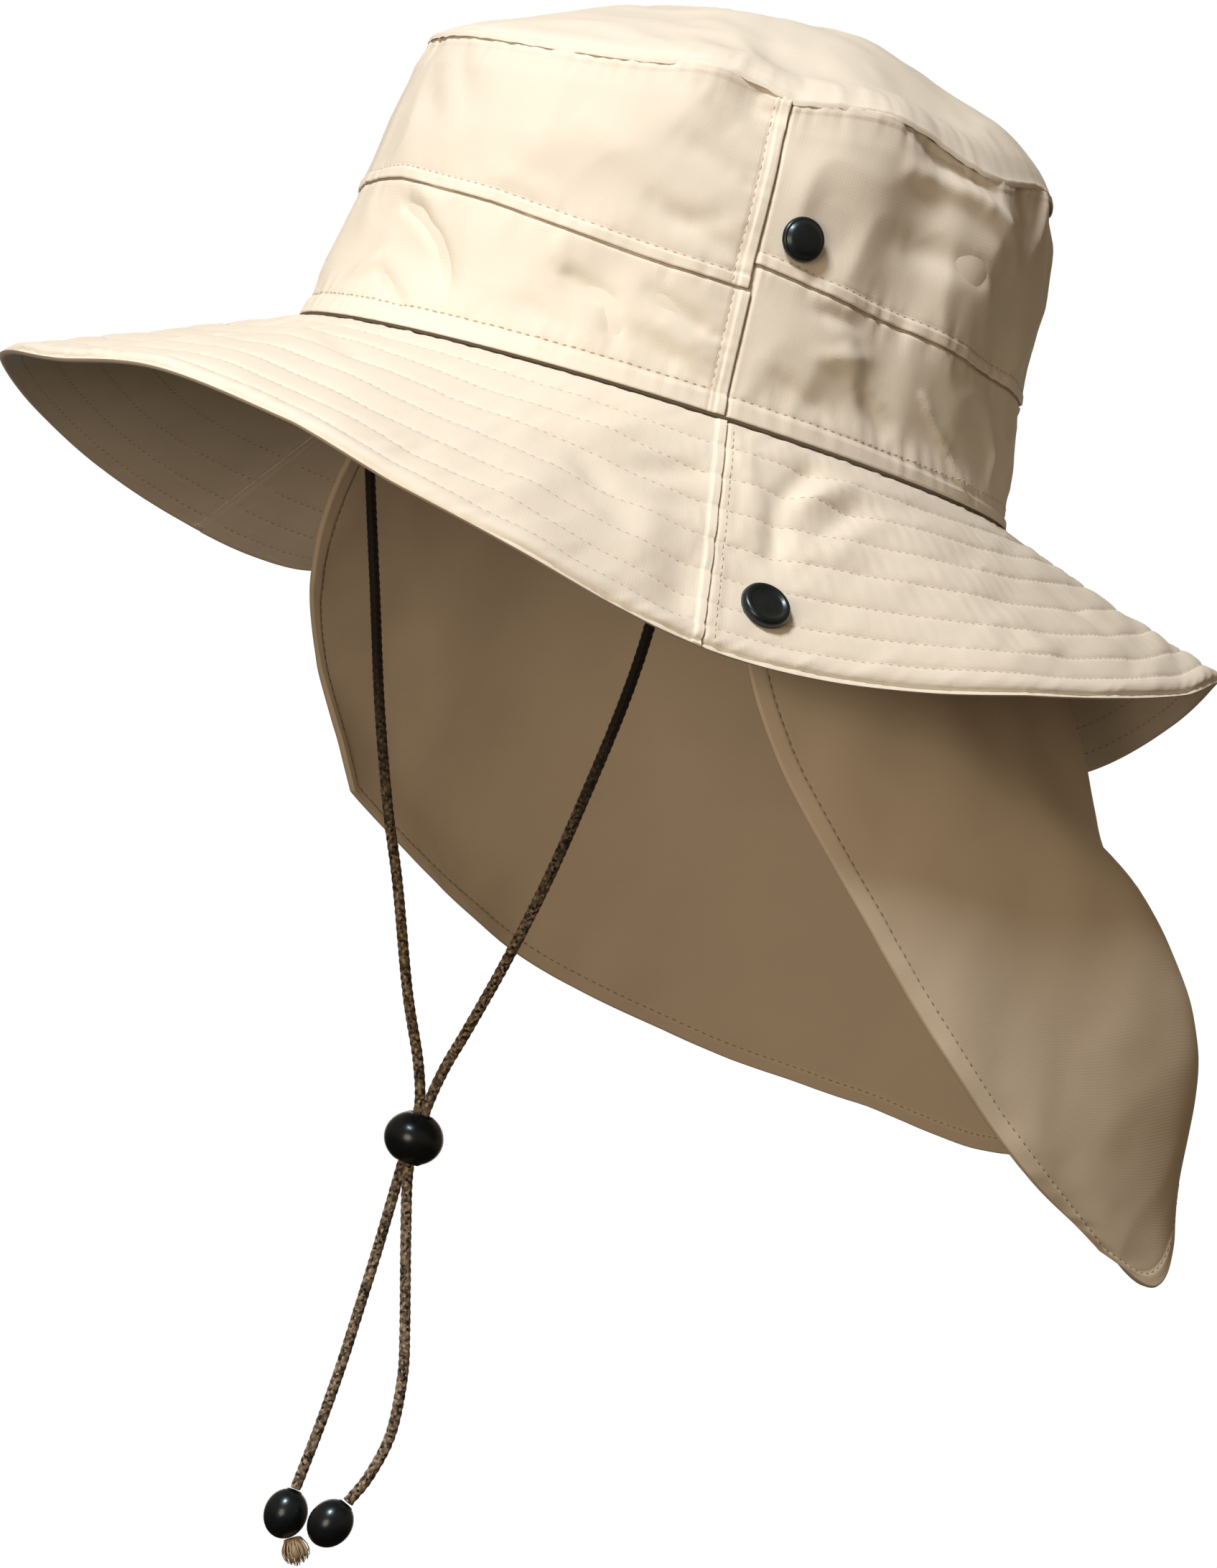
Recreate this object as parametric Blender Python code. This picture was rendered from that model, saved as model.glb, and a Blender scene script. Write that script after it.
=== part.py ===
# Safari hat: stitched bucket crown, drooping brim, neck flap, side snap and chin cord.
# Metres, +Z up.  The origin is the centre of the head opening, in the plane of the
# seam between crown and brim.  The front of the hat faces -Y, the wearer's left is +X.
import bpy
import bmesh
import math
from mathutils import Vector

MM = 0.001

# Crown
HEAD_LENGTH = 0.202        # outside of the crown at the brim seam, front to back
HEAD_WIDTH = 0.171         # outside of the crown at the brim seam, side to side
CROWN_HEIGHT = 0.082       # brim seam to top seam
CROWN_TAPER = 0.0124       # how far the wall leans in by the top seam
BAND_HEIGHT = 0.036        # brim seam to band seam
CROWN_DOME = 0.028         # rise of the top above its seam
DOME_TILT = 0.007          # the top is higher at the back by this
WALL = 0.0016              # crown cloth, doubled
FOLD_DEPTH = 0.006         # deepest dent in the crown
SEAM_ANGLE = 70.5          # side seams, degrees round from the front, at the brim
SEAM_LEAN = 2.4            # the side seams move forward by this many degrees at the top

# Brim
BRIM_WIDTH = 0.078         # crown seam to edge at the front, along the cloth
BRIM_DROP = 0.057          # lowest point of the edge below the crown seam
BRIM_WALL = 0.0024         # two stitched layers, measured straight down
BRIM_WAVE = 0.0022         # height of the small ripples between the stitch rows

# Neck flap
FLAP_DROP = 0.177          # crown seam to the lowest corner
FLAP_WALL = 0.0014         # hemmed single cloth
FLAP_INSET = 0.0008        # the flap hangs this far inside the outside of the crown

# Snap
STUD_DIAMETER = 0.0114
SOCKET_DIAMETER = 0.0128
SNAP_HEIGHT = 0.0026
SNAP_ANGLE = 75.0          # degrees round from the front
STUD_HEIGHT = 0.0484       # centre of the stud above the brim seam
SOCKET_REACH = 0.784       # centre of the socket, as a share of the brim's width

# Chin cord
CORD_DIAMETER = 0.003
CORD_OFFSET = 0.00175      # each half runs this far from the middle of the slide bead
SLIDE_DIAMETER = 0.0158
SLIDE_HEIGHT = 0.0142
END_BEAD_DIAMETER = 0.0115
END_BEAD_HEIGHT = 0.0134
KNOT_LENGTH = 0.0078
KNOT_DIAMETER = 0.0068

GAP = 0.0004               # clearance between sewn pieces
BEAD_SIDES = 16

# Mesh density
TOP_SPOKES = 44
TOP_RINGS = 6
FRONT_COLUMNS = 24
BACK_COLUMNS = 36
PANEL_ROWS = 4
BRIM_ROWS = 7
FLAP_COLUMNS = 36
FLAP_ROWS = 22

# Crown wall in profile: share of the crown's height, share of the taper
WALL_PROFILE = (
    (0.00, 0.00),
    (0.12, 0.19),
    (0.23, 0.28),
    (0.43, 0.44),
    (0.70, 0.60),
    (0.90, 0.81),
    (1.00, 1.00),
)

# Seams of the front panels: degrees from the front, share of BAND_HEIGHT, share of CROWN_HEIGHT
FRONT_SEAMS = (
    (0, 1.07, 0.950),
    (25, 1.01, 0.950),
    (41, 0.95, 0.975),
    (56, 0.91, 1.020),
    (71, 0.91, 0.985),
)

# Seams of the back panels: the same columns
BACK_SEAMS = (
    (68, 1.10, 0.985),
    (87, 1.04, 1.050),
    (110, 1.00, 1.000),
    (130, 0.97, 1.055),
    (155, 0.95, 1.040),
    (180, 0.94, 1.030),
)

# Soft dents in the crown wall: degrees from the front (left side positive), share of
# CROWN_HEIGHT, half width in degrees, half height as a share, lean, share of FOLD_DEPTH
WALL_DENTS = (
    (-2, 0.30, 6, 0.14, 0.5, 0.35),
    (14, 0.24, 8, 0.10, -0.6, 0.30),
    (44, 0.26, 7, 0.12, 0.4, 0.30),
    (63, 0.93, 6, 0.10, -0.5, 0.45),
    (30, 0.72, 16, 0.20, 0.2, -0.20),
    (96, 0.66, 7, 0.34, 0.3, 0.55),
    (111, 0.72, 8, 0.26, 0.2, -0.45),
    (124, 0.55, 8, 0.30, 0.3, 0.40),
    (150, 0.80, 8, 0.18, 0.0, -0.20),
    (100, 0.16, 10, 0.12, -0.3, 0.30),
    (170, 0.35, 12, 0.20, 0.3, 0.35),
    (-100, 0.62, 9, 0.34, -0.3, 0.55),
    (-128, 0.55, 10, 0.30, -0.2, 0.55),
    (-45, 0.60, 9, 0.30, 0.2, 0.35),
    (-70, 0.20, 9, 0.14, 0.2, 0.30),
    (-155, 0.62, 10, 0.30, 0.2, 0.45),
)

# Dents in the crown top: degrees from the front, share of the way out, half width as a
# share of the half length, share of FOLD_DEPTH
TOP_DENTS = (
    (66, 0.82, 0.14, 0.50),
    (96, 0.86, 0.14, 0.55),
    (20, 0.55, 0.22, 0.25),
    (128, 0.62, 0.20, 0.40),
    (-75, 0.78, 0.18, 0.50),
    (180, 0.70, 0.22, 0.30),
    (-130, 0.60, 0.18, 0.35),
)

# Edge of the brim: degrees from the front (left side positive), share of BRIM_WIDTH along
# the cloth, share of BRIM_DROP below the crown seam
BRIM_STATIONS = (
    (0, 1.00, 0.54),
    (14, 0.99, 0.49),
    (28, 0.98, 0.57),
    (37, 0.97, 0.69),
    (48, 0.96, 0.80),
    (60, 0.95, 0.92),
    (70, 0.94, 0.97),
    (81, 0.93, 0.95),
    (92, 0.92, 0.87),
    (103, 0.91, 0.75),
    (116, 0.89, 0.63),
    (130, 0.88, 0.50),
    (141, 0.87, 0.38),
    (151, 0.88, 0.37),
    (160, 0.91, 0.56),
    (170, 0.94, 0.88),
    (180, 0.95, 1.00),
    (190, 0.94, 0.92),
    (201, 0.91, 0.64),
    (212, 0.88, 0.42),
    (226, 0.87, 0.42),
    (242, 0.89, 0.60),
    (258, 0.91, 0.78),
    (274, 0.93, 0.97),
    (284, 0.94, 1.00),
    (295, 0.95, 0.94),
    (307, 0.96, 0.83),
    (320, 0.97, 0.68),
    (333, 0.98, 0.56),
    (346, 0.99, 0.53),
)

# Ribs of the neck flap, from its left front edge round the back to its right front edge.
# Each starts under the crown seam at its angle from the front and has four more points,
# each with its step to the left, its step to the back and its drop, as shares of FLAP_DROP.
FLAP_RIBS = (
    (70, (0.12, 0.11, 0.35), (0.23, 0.34, 0.62), (0.28, 0.62, 0.845), (0.28, 0.84, 0.95)),
    (90, (0.10, 0.08, 0.27), (0.19, 0.29, 0.48), (0.24, 0.54, 0.75), (0.25, 0.77, 0.985)),
    (112, (0.11, 0.07, 0.27), (0.19, 0.39, 0.45), (0.235, 0.535, 0.64), (0.215, 0.62, 0.90)),
    (128, (0.10, 0.10, 0.25), (0.15, 0.31, 0.44), (0.21, 0.465, 0.65), (0.19, 0.535, 0.83)),
    (144, (0.11, 0.165, 0.25), (0.155, 0.25, 0.43), (0.19, 0.39, 0.63), (0.15, 0.485, 0.82)),
    (164, (0.055, 0.155, 0.23), (0.07, 0.255, 0.44), (0.09, 0.37, 0.66), (0.07, 0.46, 0.86)),
    (184, (-0.01, 0.14, 0.23), (-0.01, 0.25, 0.45), (-0.02, 0.37, 0.68), (-0.02, 0.46, 0.90)),
    (204, (-0.03, 0.13, 0.23), (-0.06, 0.24, 0.45), (-0.07, 0.34, 0.67), (-0.08, 0.43, 0.89)),
    (224, (-0.06, 0.12, 0.23), (-0.11, 0.23, 0.45), (-0.14, 0.32, 0.67), (-0.15, 0.38, 0.88)),
    (246, (-0.10, 0.09, 0.23), (-0.15, 0.17, 0.44), (-0.18, 0.23, 0.64), (-0.19, 0.28, 0.83)),
    (268, (-0.11, 0.04, 0.22), (-0.16, 0.10, 0.40), (-0.175, 0.20, 0.60), (-0.15, 0.27, 0.75)),
    (290, (-0.10, 0.01, 0.18), (-0.16, 0.05, 0.32), (-0.195, 0.13, 0.45), (-0.185, 0.25, 0.63)),
)

# Route of the left half of the chin cord, in millimetres, from under the brim seam down
# through the slide bead to its end bead
LEFT_CORD_MM = (
    (75.6, -43.6, -3.2),
    (74.2, -40.6, -11.0),
    (66.5, -30.5, -32.0),
    (57.2, -22.6, -51.0),
    (48.0, -17.4, -73.0),
    (36.8, -13.6, -101.0),
    (27.3, -10.9, -123.0),
    (18.0, -9.7, -145.0),
    (10.2, -9.8, -164.0),
    (4.6, -10.0, -177.0),
    (1.8, -10.0, -188.0),
    (1.75, -10.0, -196.5),
    (1.8, -10.0, -205.0),
    (4.6, -6.6, -222.0),
    (8.2, -1.2, -245.0),
    (9.8, 1.2, -257.0),
    (10.7, 2.1, -272.0),
    (9.7, 0.0, -284.0),
    (8.0, -3.0, -292.2),
)

# Route of the right half, the same way
RIGHT_CORD_MM = (
    (-75.6, -43.6, -3.2),
    (-73.6, -43.0, -13.0),
    (-67.0, -41.7, -27.0),
    (-60.8, -39.6, -42.0),
    (-52.2, -36.7, -62.4),
    (-41.0, -32.6, -90.0),
    (-30.8, -27.7, -114.8),
    (-22.4, -23.0, -134.0),
    (-11.8, -17.2, -160.4),
    (-4.8, -12.4, -177.0),
    (-1.8, -10.0, -188.0),
    (-1.75, -10.0, -196.5),
    (-1.8, -10.0, -205.0),
    (-2.0, -9.8, -227.0),
    (-2.8, -9.6, -245.0),
    (-3.4, -9.6, -260.0),
    (-4.4, -10.1, -277.0),
    (-5.6, -11.0, -293.6),
)

# Interpolation


def smooth(values, u):
    """Value at u, a place between 0 and len(values) - 1, on a Catmull-Rom curve."""
    last = len(values) - 1
    i = min(int(u), last - 1)
    f = u - i
    p1 = values[i]
    p2 = values[i + 1]
    p0 = values[i - 1] if i > 0 else 2 * p1 - p2
    p3 = values[i + 2] if i + 2 <= last else 2 * p2 - p1
    cubic = 3 * (p1 - p2) + p3 - p0
    square = 2 * p0 - 5 * p1 + 4 * p2 - p3
    return p1 + 0.5 * f * (p2 - p0 + f * (square + f * cubic))


def table_value(rows, key, column):
    """Smooth value of one column of a table whose first column is the key."""
    last = len(rows) - 1
    i = 0
    while i < last - 1 and key > rows[i + 1][0]:
        i += 1
    span = rows[i + 1][0] - rows[i][0]
    share = min(max((key - rows[i][0]) / span, 0.0), 1.0)
    return smooth([row[column] for row in rows], i + share)


def ring_value(rows, angle, column):
    """The same for a table that goes all the way round in degrees."""
    before = tuple((row[0] - 360,) + row[1:] for row in rows[-2:])
    after = tuple((row[0] + 360,) + row[1:] for row in rows[:2])
    return table_value(before + rows + after, angle % 360, column)


def fade(x):
    """Soft step from 0 at x = 0 to 1 at x = 1."""
    x = min(max(x, 0.0), 1.0)
    return x * x * (3 - 2 * x)


def turn_between(a, b):
    """Signed difference a - b of two directions in degrees, between -180 and 180."""
    return (a - b + 180) % 360 - 180


# Crown


def oval(angle, inset):
    """Point of the head oval at an angle from the front, moved inwards by inset."""
    a = math.radians(angle)
    x = (HEAD_WIDTH / 2 - inset) * math.sin(a)
    y = -(HEAD_LENGTH / 2 - inset) * math.cos(a)
    return Vector((x, y, 0))


def outward(angle):
    """Level direction square to the head oval at an angle from the front."""
    a = math.radians(angle)
    return Vector((HEAD_LENGTH * math.sin(a), -HEAD_WIDTH * math.cos(a), 0)).normalized()


def seam_height(angle, column, back):
    """Height of the band seam (column 1) or the top seam (column 2) at an angle."""
    side = abs(turn_between(angle, 0))
    size = BAND_HEIGHT if column == 1 else CROWN_HEIGHT
    return size * table_value(BACK_SEAMS if back else FRONT_SEAMS, side, column)


def top_seam(angle):
    return seam_height(angle, 2, abs(turn_between(angle, 0)) > SEAM_ANGLE - SEAM_LEAN)


def wall_dent(angle, share):
    """Inward depth of the dents in the crown wall."""
    depth = 0.0
    for centre, level, half_width, half_height, lean, deep in WALL_DENTS:
        up = (share - level) / half_height
        across = turn_between(angle, centre) / half_width - lean * up
        depth += deep * math.exp(-across * across - up * up)
    return FOLD_DEPTH * depth * fade(share / 0.2)


def wall_point(angle, z, inset=0.0):
    """Point of the crown wall's outer face, or inset from it, at a height."""
    share = z / top_seam(angle)
    lean = CROWN_TAPER * table_value(WALL_PROFILE, share, 1)
    point = oval(angle, lean + wall_dent(angle, share) + inset)
    point.z = z
    return point


def side_seam(share):
    """Angle of the side seams at a share of the crown's height or the brim's width."""
    return SEAM_ANGLE - SEAM_LEAN * share


def wall_panel(name, back, upper, columns, material):
    """One sewn panel of the wall, between the two side seams and two level seams."""
    gap_angle = math.degrees(GAP / HEAD_WIDTH)
    outer = []
    inner = []
    for row in range(PANEL_ROWS + 1):
        v = row / PANEL_ROWS
        outer_row = []
        inner_row = []
        for column in range(columns + 1):
            u = column / columns
            middle = (0.7 if upper else 0.2) + 0.3 * v
            seam = side_seam(middle)
            if back:
                angle = seam + gap_angle + u * (360 - 2 * seam - 2 * gap_angle)
            else:
                angle = (2 * u - 1) * (seam - gap_angle)
            band = seam_height(angle, 1, back)
            low = band + GAP / 2 if upper else 0.0
            high = top_seam(angle) if upper else band - GAP / 2
            z = low + v * (high - low)
            outer_row.append(wall_point(angle, z))
            inner_row.append(wall_point(angle, z, WALL))
        outer.append(outer_row)
        inner.append(inner_row)
    return shell(name, outer, inner, material)


def top_height(angle, out):
    """Height of the underside of the crown's top, out from its middle as a share."""
    seam = top_seam(angle) + GAP
    rise = (CROWN_HEIGHT + CROWN_DOME - seam) * (1 - out ** 2.4)
    tilt = -1.6 * DOME_TILT * math.cos(math.radians(angle)) * out * (1 - out ** 3)
    depth = 0.0
    for centre, level, size, deep in TOP_DENTS:
        along = turn_between(angle, centre) / 57.3 * out / (2 * size)
        across = (out - level) / size
        depth += deep * math.exp(-along * along - across * across)
    return seam + rise + tilt - FOLD_DEPTH * depth * fade(4 * (1 - out))


def crown_top(material):
    """Domed oval whose rim sits on the wall's top edge."""
    upper = []
    lower = []
    for ring in range(1, TOP_RINGS + 1):
        out = math.sin(math.pi / 2 * ring / TOP_RINGS)
        upper_ring = []
        lower_ring = []
        for spoke in range(TOP_SPOKES):
            angle = 360 * spoke / TOP_SPOKES
            edge = wall_point(angle, top_seam(angle))
            height = top_height(angle, out)
            lower_ring.append(Vector((edge.x * out, edge.y * out, height)))
            upper_ring.append(Vector((edge.x * out, edge.y * out, height + 1.2 * WALL)))
        upper.append(upper_ring)
        lower.append(lower_ring)
    middle = Vector((0, 0, top_height(0, 0)))
    return dome("crown_top", upper, lower, middle, 1.2 * WALL, material)


# Brim


def brim_point(angle, out):
    """Top of the brim at an angle, out across its width as a share."""
    width = BRIM_WIDTH * ring_value(BRIM_STATIONS, angle, 1)
    drop = BRIM_DROP * ring_value(BRIM_STATIONS, angle, 2)
    reach = math.sqrt(width * width - drop * drop)
    point = oval(angle, 0) + outward(angle) * reach * out
    ripple = BRIM_WAVE * math.sin(math.radians(9 * angle)) * out * (1 - out)
    point.z = -GAP - drop * out + ripple
    return point


def brim_half(name, back, columns, material):
    upper = []
    lower = []
    gap_angle = math.degrees(GAP / HEAD_WIDTH)
    for row in range(-1, BRIM_ROWS + 1):
        out = max(row, 0) / BRIM_ROWS
        seam = side_seam(out)
        upper_row = []
        lower_row = []
        for column in range(columns + 1):
            u = column / columns
            if back:
                angle = seam + gap_angle + u * (360 - 2 * seam - 2 * gap_angle)
            else:
                angle = (2 * u - 1) * (seam - gap_angle)
            point = brim_point(angle, out)
            if row < 0:
                point = oval(angle, WALL) - Vector((0, 0, GAP))
            upper_row.append(point)
            lower_row.append(point - Vector((0, 0, BRIM_WALL)))
        upper.append(upper_row)
        lower.append(lower_row)
    return shell(name, upper, lower, material)


# Neck flap


def flap_point(u, v):
    """Middle of the flap's cloth: u from left to right front edge, v from seam to hem."""
    place = u * (len(FLAP_RIBS) - 1)
    angle = smooth([rib[0] for rib in FLAP_RIBS], place)
    start = oval(angle, FLAP_INSET) - Vector((0, 0, BRIM_WALL + 3 * GAP))
    steps = [Vector((0, 0, 0))]
    for level in range(1, 5):
        left = smooth([rib[level][0] for rib in FLAP_RIBS], place)
        back = smooth([rib[level][1] for rib in FLAP_RIBS], place)
        drop = smooth([rib[level][2] for rib in FLAP_RIBS], place)
        steps.append(FLAP_DROP * Vector((left, back, -drop)))
    return start + smooth(steps, 4 * v)


def neck_flap(material):
    outer = []
    inner = []
    for row in range(FLAP_ROWS + 1):
        v = row / FLAP_ROWS
        outer_row = []
        inner_row = []
        for column in range(FLAP_COLUMNS + 1):
            u = column / FLAP_COLUMNS
            across = flap_point(min(u + 0.01, 1), v) - flap_point(max(u - 0.01, 0), v)
            down = flap_point(u, min(v + 0.01, 1)) - flap_point(u, max(v - 0.01, 0))
            half = across.cross(down).normalized() * FLAP_WALL / 2
            middle = flap_point(u, v)
            outer_row.append(middle - half)
            inner_row.append(middle + half)
        outer.append(outer_row)
        inner.append(inner_row)
    return shell("neck_flap", outer, inner, material)


# Snap


def turned(name, profile, centre, axis, material, sides=BEAD_SIDES):
    """Solid of revolution: profile rows are radius and place along the axis."""
    mesh = bmesh.new()
    rings = []
    for radius, along in profile:
        if radius == 0:
            rings.append([mesh.verts.new((0, 0, along))])
            continue
        ring = []
        for side in range(sides):
            a = 2 * math.pi * side / sides
            ring.append(mesh.verts.new((radius * math.cos(a), radius * math.sin(a), along)))
        rings.append(ring)
    for low, high in zip(rings, rings[1:]):
        for side in range(sides):
            after = (side + 1) % sides
            corners = []
            for vertex in (low[side % len(low)], low[after % len(low)],
                           high[after % len(high)], high[side % len(high)]):
                if vertex not in corners:
                    corners.append(vertex)
            mesh.faces.new(corners)
    piece = finish(name, mesh, material)
    piece.location = centre
    piece.rotation_mode = "QUATERNION"
    piece.rotation_quaternion = Vector((0, 0, 1)).rotation_difference(axis)
    return piece


def crown_snap_stud(material):
    """Black domed cap on the crown, just behind the left side seam."""
    point = wall_point(SNAP_ANGLE, STUD_HEIGHT)
    beside = wall_point(SNAP_ANGLE + 1, STUD_HEIGHT) - point
    above = wall_point(SNAP_ANGLE, STUD_HEIGHT + MM) - point
    axis = beside.cross(above).normalized()
    radius = STUD_DIAMETER / 2
    profile = (
        (0, 0),
        (radius * 0.94, 0),
        (radius, SNAP_HEIGHT * 0.25),
        (radius * 0.93, SNAP_HEIGHT * 0.55),
        (radius * 0.66, SNAP_HEIGHT * 0.86),
        (0, SNAP_HEIGHT),
    )
    return turned("crown_snap_stud", profile, point + axis * 1.5 * GAP, axis, material)


def brim_snap_socket(material):
    """Black ring with a dished middle on the brim, below the stud."""
    point = brim_point(SNAP_ANGLE, SOCKET_REACH)
    beside = brim_point(SNAP_ANGLE + 1, SOCKET_REACH) - point
    inwards = brim_point(SNAP_ANGLE, SOCKET_REACH - 0.02) - point
    axis = beside.cross(inwards).normalized()
    radius = SOCKET_DIAMETER / 2
    profile = (
        (0, 0),
        (radius * 0.94, 0),
        (radius, SNAP_HEIGHT * 0.30),
        (radius * 0.93, SNAP_HEIGHT * 0.75),
        (radius * 0.78, SNAP_HEIGHT),
        (radius * 0.66, SNAP_HEIGHT * 0.80),
        (0, SNAP_HEIGHT * 0.62),
    )
    return turned("brim_snap_socket", profile, point + axis * 2 * GAP, axis, material)


# Chin cord


def cord_points(route_mm):
    """Evenly spaced points on a smooth curve through the route."""
    route = [Vector(point) * MM for point in route_mm]
    last = len(route) - 1
    fine = [smooth(route, last * i / 600) for i in range(601)]
    length = [0.0]
    for before, after in zip(fine, fine[1:]):
        length.append(length[-1] + (after - before).length)
    count = round(length[-1] / (2.9 * CORD_DIAMETER))
    points = []
    i = 0
    for step in range(count + 1):
        wanted = length[-1] * step / count
        while i < 600 and length[i] < wanted:
            i += 1
        points.append(fine[i])
    return points


def chin_cord(name, points, material):
    curve = bpy.data.curves.new(name, "CURVE")
    curve.dimensions = "3D"
    curve.bevel_depth = CORD_DIAMETER / 2
    curve.bevel_resolution = 2
    curve.use_fill_caps = True
    spline = curve.splines.new("POLY")
    spline.points.add(len(points) - 1)
    for spot, point in zip(spline.points, points):
        spot.co = (point.x, point.y, point.z, 1)
    curve.materials.append(material)
    piece = bpy.data.objects.new(name, curve)
    bpy.context.collection.objects.link(piece)
    return piece


def slide_bead(material):
    """Bead with an oval hole that takes both halves of the cord side by side."""
    hole_long = CORD_DIAMETER / 2 + CORD_OFFSET + 1.5 * GAP
    hole_short = CORD_DIAMETER / 2 + 1.5 * GAP
    rings = [(0.0, 0.46)]
    for a in range(56, -57, -16):
        rings.append((math.cos(math.radians(a)), 0.5 * math.sin(math.radians(a))))
    rings.append((0.0, -0.46))
    mesh = bmesh.new()
    loops = []
    for size, level in rings:
        loop = []
        for side in range(BEAD_SIDES):
            a = 2 * math.pi * side / BEAD_SIDES
            x = hole_long * math.cos(a)
            y = hole_short * math.sin(a)
            if size > 0:
                x = SLIDE_DIAMETER / 2 * size * math.cos(a)
                y = SLIDE_DIAMETER / 2 * size * math.sin(a)
            loop.append(mesh.verts.new((x, y, level * SLIDE_HEIGHT)))
        loops.append(loop)
    for low, high in zip(loops, loops[1:] + loops[:1]):
        for side in range(BEAD_SIDES):
            after = (side + 1) % BEAD_SIDES
            mesh.faces.new((low[side], low[after], high[after], high[side]))
    piece = finish("slide_bead", mesh, material)
    left = Vector(LEFT_CORD_MM[11])
    right = Vector(RIGHT_CORD_MM[11])
    piece.location = (left + right) / 2 * MM
    return piece


def end_bead(name, points, material):
    """Round bead that a cord's end goes into."""
    way = (points[-1] - points[-2]).normalized()
    profile = [(0, -END_BEAD_HEIGHT / 2)]
    for a in range(-67, 68, 22):
        radius = END_BEAD_DIAMETER / 2 * math.cos(math.radians(a))
        profile.append((radius, END_BEAD_HEIGHT / 2 * math.sin(math.radians(a))))
    profile.append((0, END_BEAD_HEIGHT / 2))
    centre = points[-1] + way * (END_BEAD_HEIGHT / 2 + GAP)
    return turned(name, profile, centre, way, material)


def cord_end_knot(points, material):
    """Frayed end that stands out below the right half's bead."""
    way = (points[-1] - points[-2]).normalized()
    bead = points[-1] + way * (END_BEAD_HEIGHT / 2 + GAP)
    aside = Vector((0.28, 0.42, -0.86)).normalized()
    along = abs(aside.dot(way)) / (END_BEAD_HEIGHT / 2)
    across = math.sqrt(1 - aside.dot(way) ** 2) / (END_BEAD_DIAMETER / 2)
    start = bead + aside * (1 / math.hypot(along, across) + GAP)
    radius = KNOT_DIAMETER / 2
    profile = (
        (0, 0),
        (radius * 0.55, 0),
        (radius * 0.80, KNOT_LENGTH * 0.4),
        (radius, KNOT_LENGTH * 0.85),
        (radius * 0.7, KNOT_LENGTH),
        (0, KNOT_LENGTH),
    )
    return turned("cord_end_knot", profile, start, aside, material, 10)


# Building meshes


def cloth(name, colour, roughness, metallic=0.0):
    material = bpy.data.materials.new(name)
    material.use_nodes = True
    principled = material.node_tree.nodes["Principled BSDF"]
    principled.inputs["Base Color"].default_value = (*colour, 1)
    principled.inputs["Roughness"].default_value = roughness
    principled.inputs["Metallic"].default_value = metallic
    material.diffuse_color = (*colour, 1)
    return material


def finish(name, mesh, material):
    bmesh.ops.recalc_face_normals(mesh, faces=mesh.faces)
    data = bpy.data.meshes.new(name)
    mesh.to_mesh(data)
    mesh.free()
    data.materials.append(material)
    data.shade_smooth()
    data.set_sharp_from_angle(angle=math.radians(40))
    piece = bpy.data.objects.new(name, data)
    bpy.context.collection.objects.link(piece)
    return piece


def shell(name, outer, inner, material):
    """Closed wall between two grids of points of the same size."""
    mesh = bmesh.new()
    rows = len(outer)
    columns = len(outer[0])
    front = [[mesh.verts.new(point) for point in row] for row in outer]
    behind = [[mesh.verts.new(point) for point in row] for row in inner]
    for i in range(rows - 1):
        for j in range(columns - 1):
            mesh.faces.new((front[i][j], front[i][j + 1], front[i + 1][j + 1], front[i + 1][j]))
            mesh.faces.new((behind[i][j], behind[i + 1][j], behind[i + 1][j + 1], behind[i][j + 1]))
    for i in range(rows - 1):
        for j in (0, columns - 1):
            mesh.faces.new((front[i][j], front[i + 1][j], behind[i + 1][j], behind[i][j]))
    for j in range(columns - 1):
        for i in (0, rows - 1):
            mesh.faces.new((front[i][j], front[i][j + 1], behind[i][j + 1], behind[i][j]))
    return finish(name, mesh, material)


def dome(name, upper, lower, middle, thick, material):
    """Closed round cap of rings about a middle point, outermost ring last."""
    mesh = bmesh.new()
    spokes = len(upper[0])
    over = [[mesh.verts.new(point) for point in ring] for ring in upper]
    under = [[mesh.verts.new(point) for point in ring] for ring in lower]
    crest = mesh.verts.new(middle + Vector((0, 0, thick)))
    hollow = mesh.verts.new(middle)
    for j in range(spokes):
        k = (j + 1) % spokes
        mesh.faces.new((crest, over[0][j], over[0][k]))
        mesh.faces.new((hollow, under[0][k], under[0][j]))
        for i in range(len(upper) - 1):
            mesh.faces.new((over[i][j], over[i + 1][j], over[i + 1][k], over[i][k]))
            mesh.faces.new((under[i][j], under[i][k], under[i + 1][k], under[i + 1][j]))
        mesh.faces.new((over[-1][j], under[-1][j], under[-1][k], over[-1][k]))
    return finish(name, mesh, material)


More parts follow.
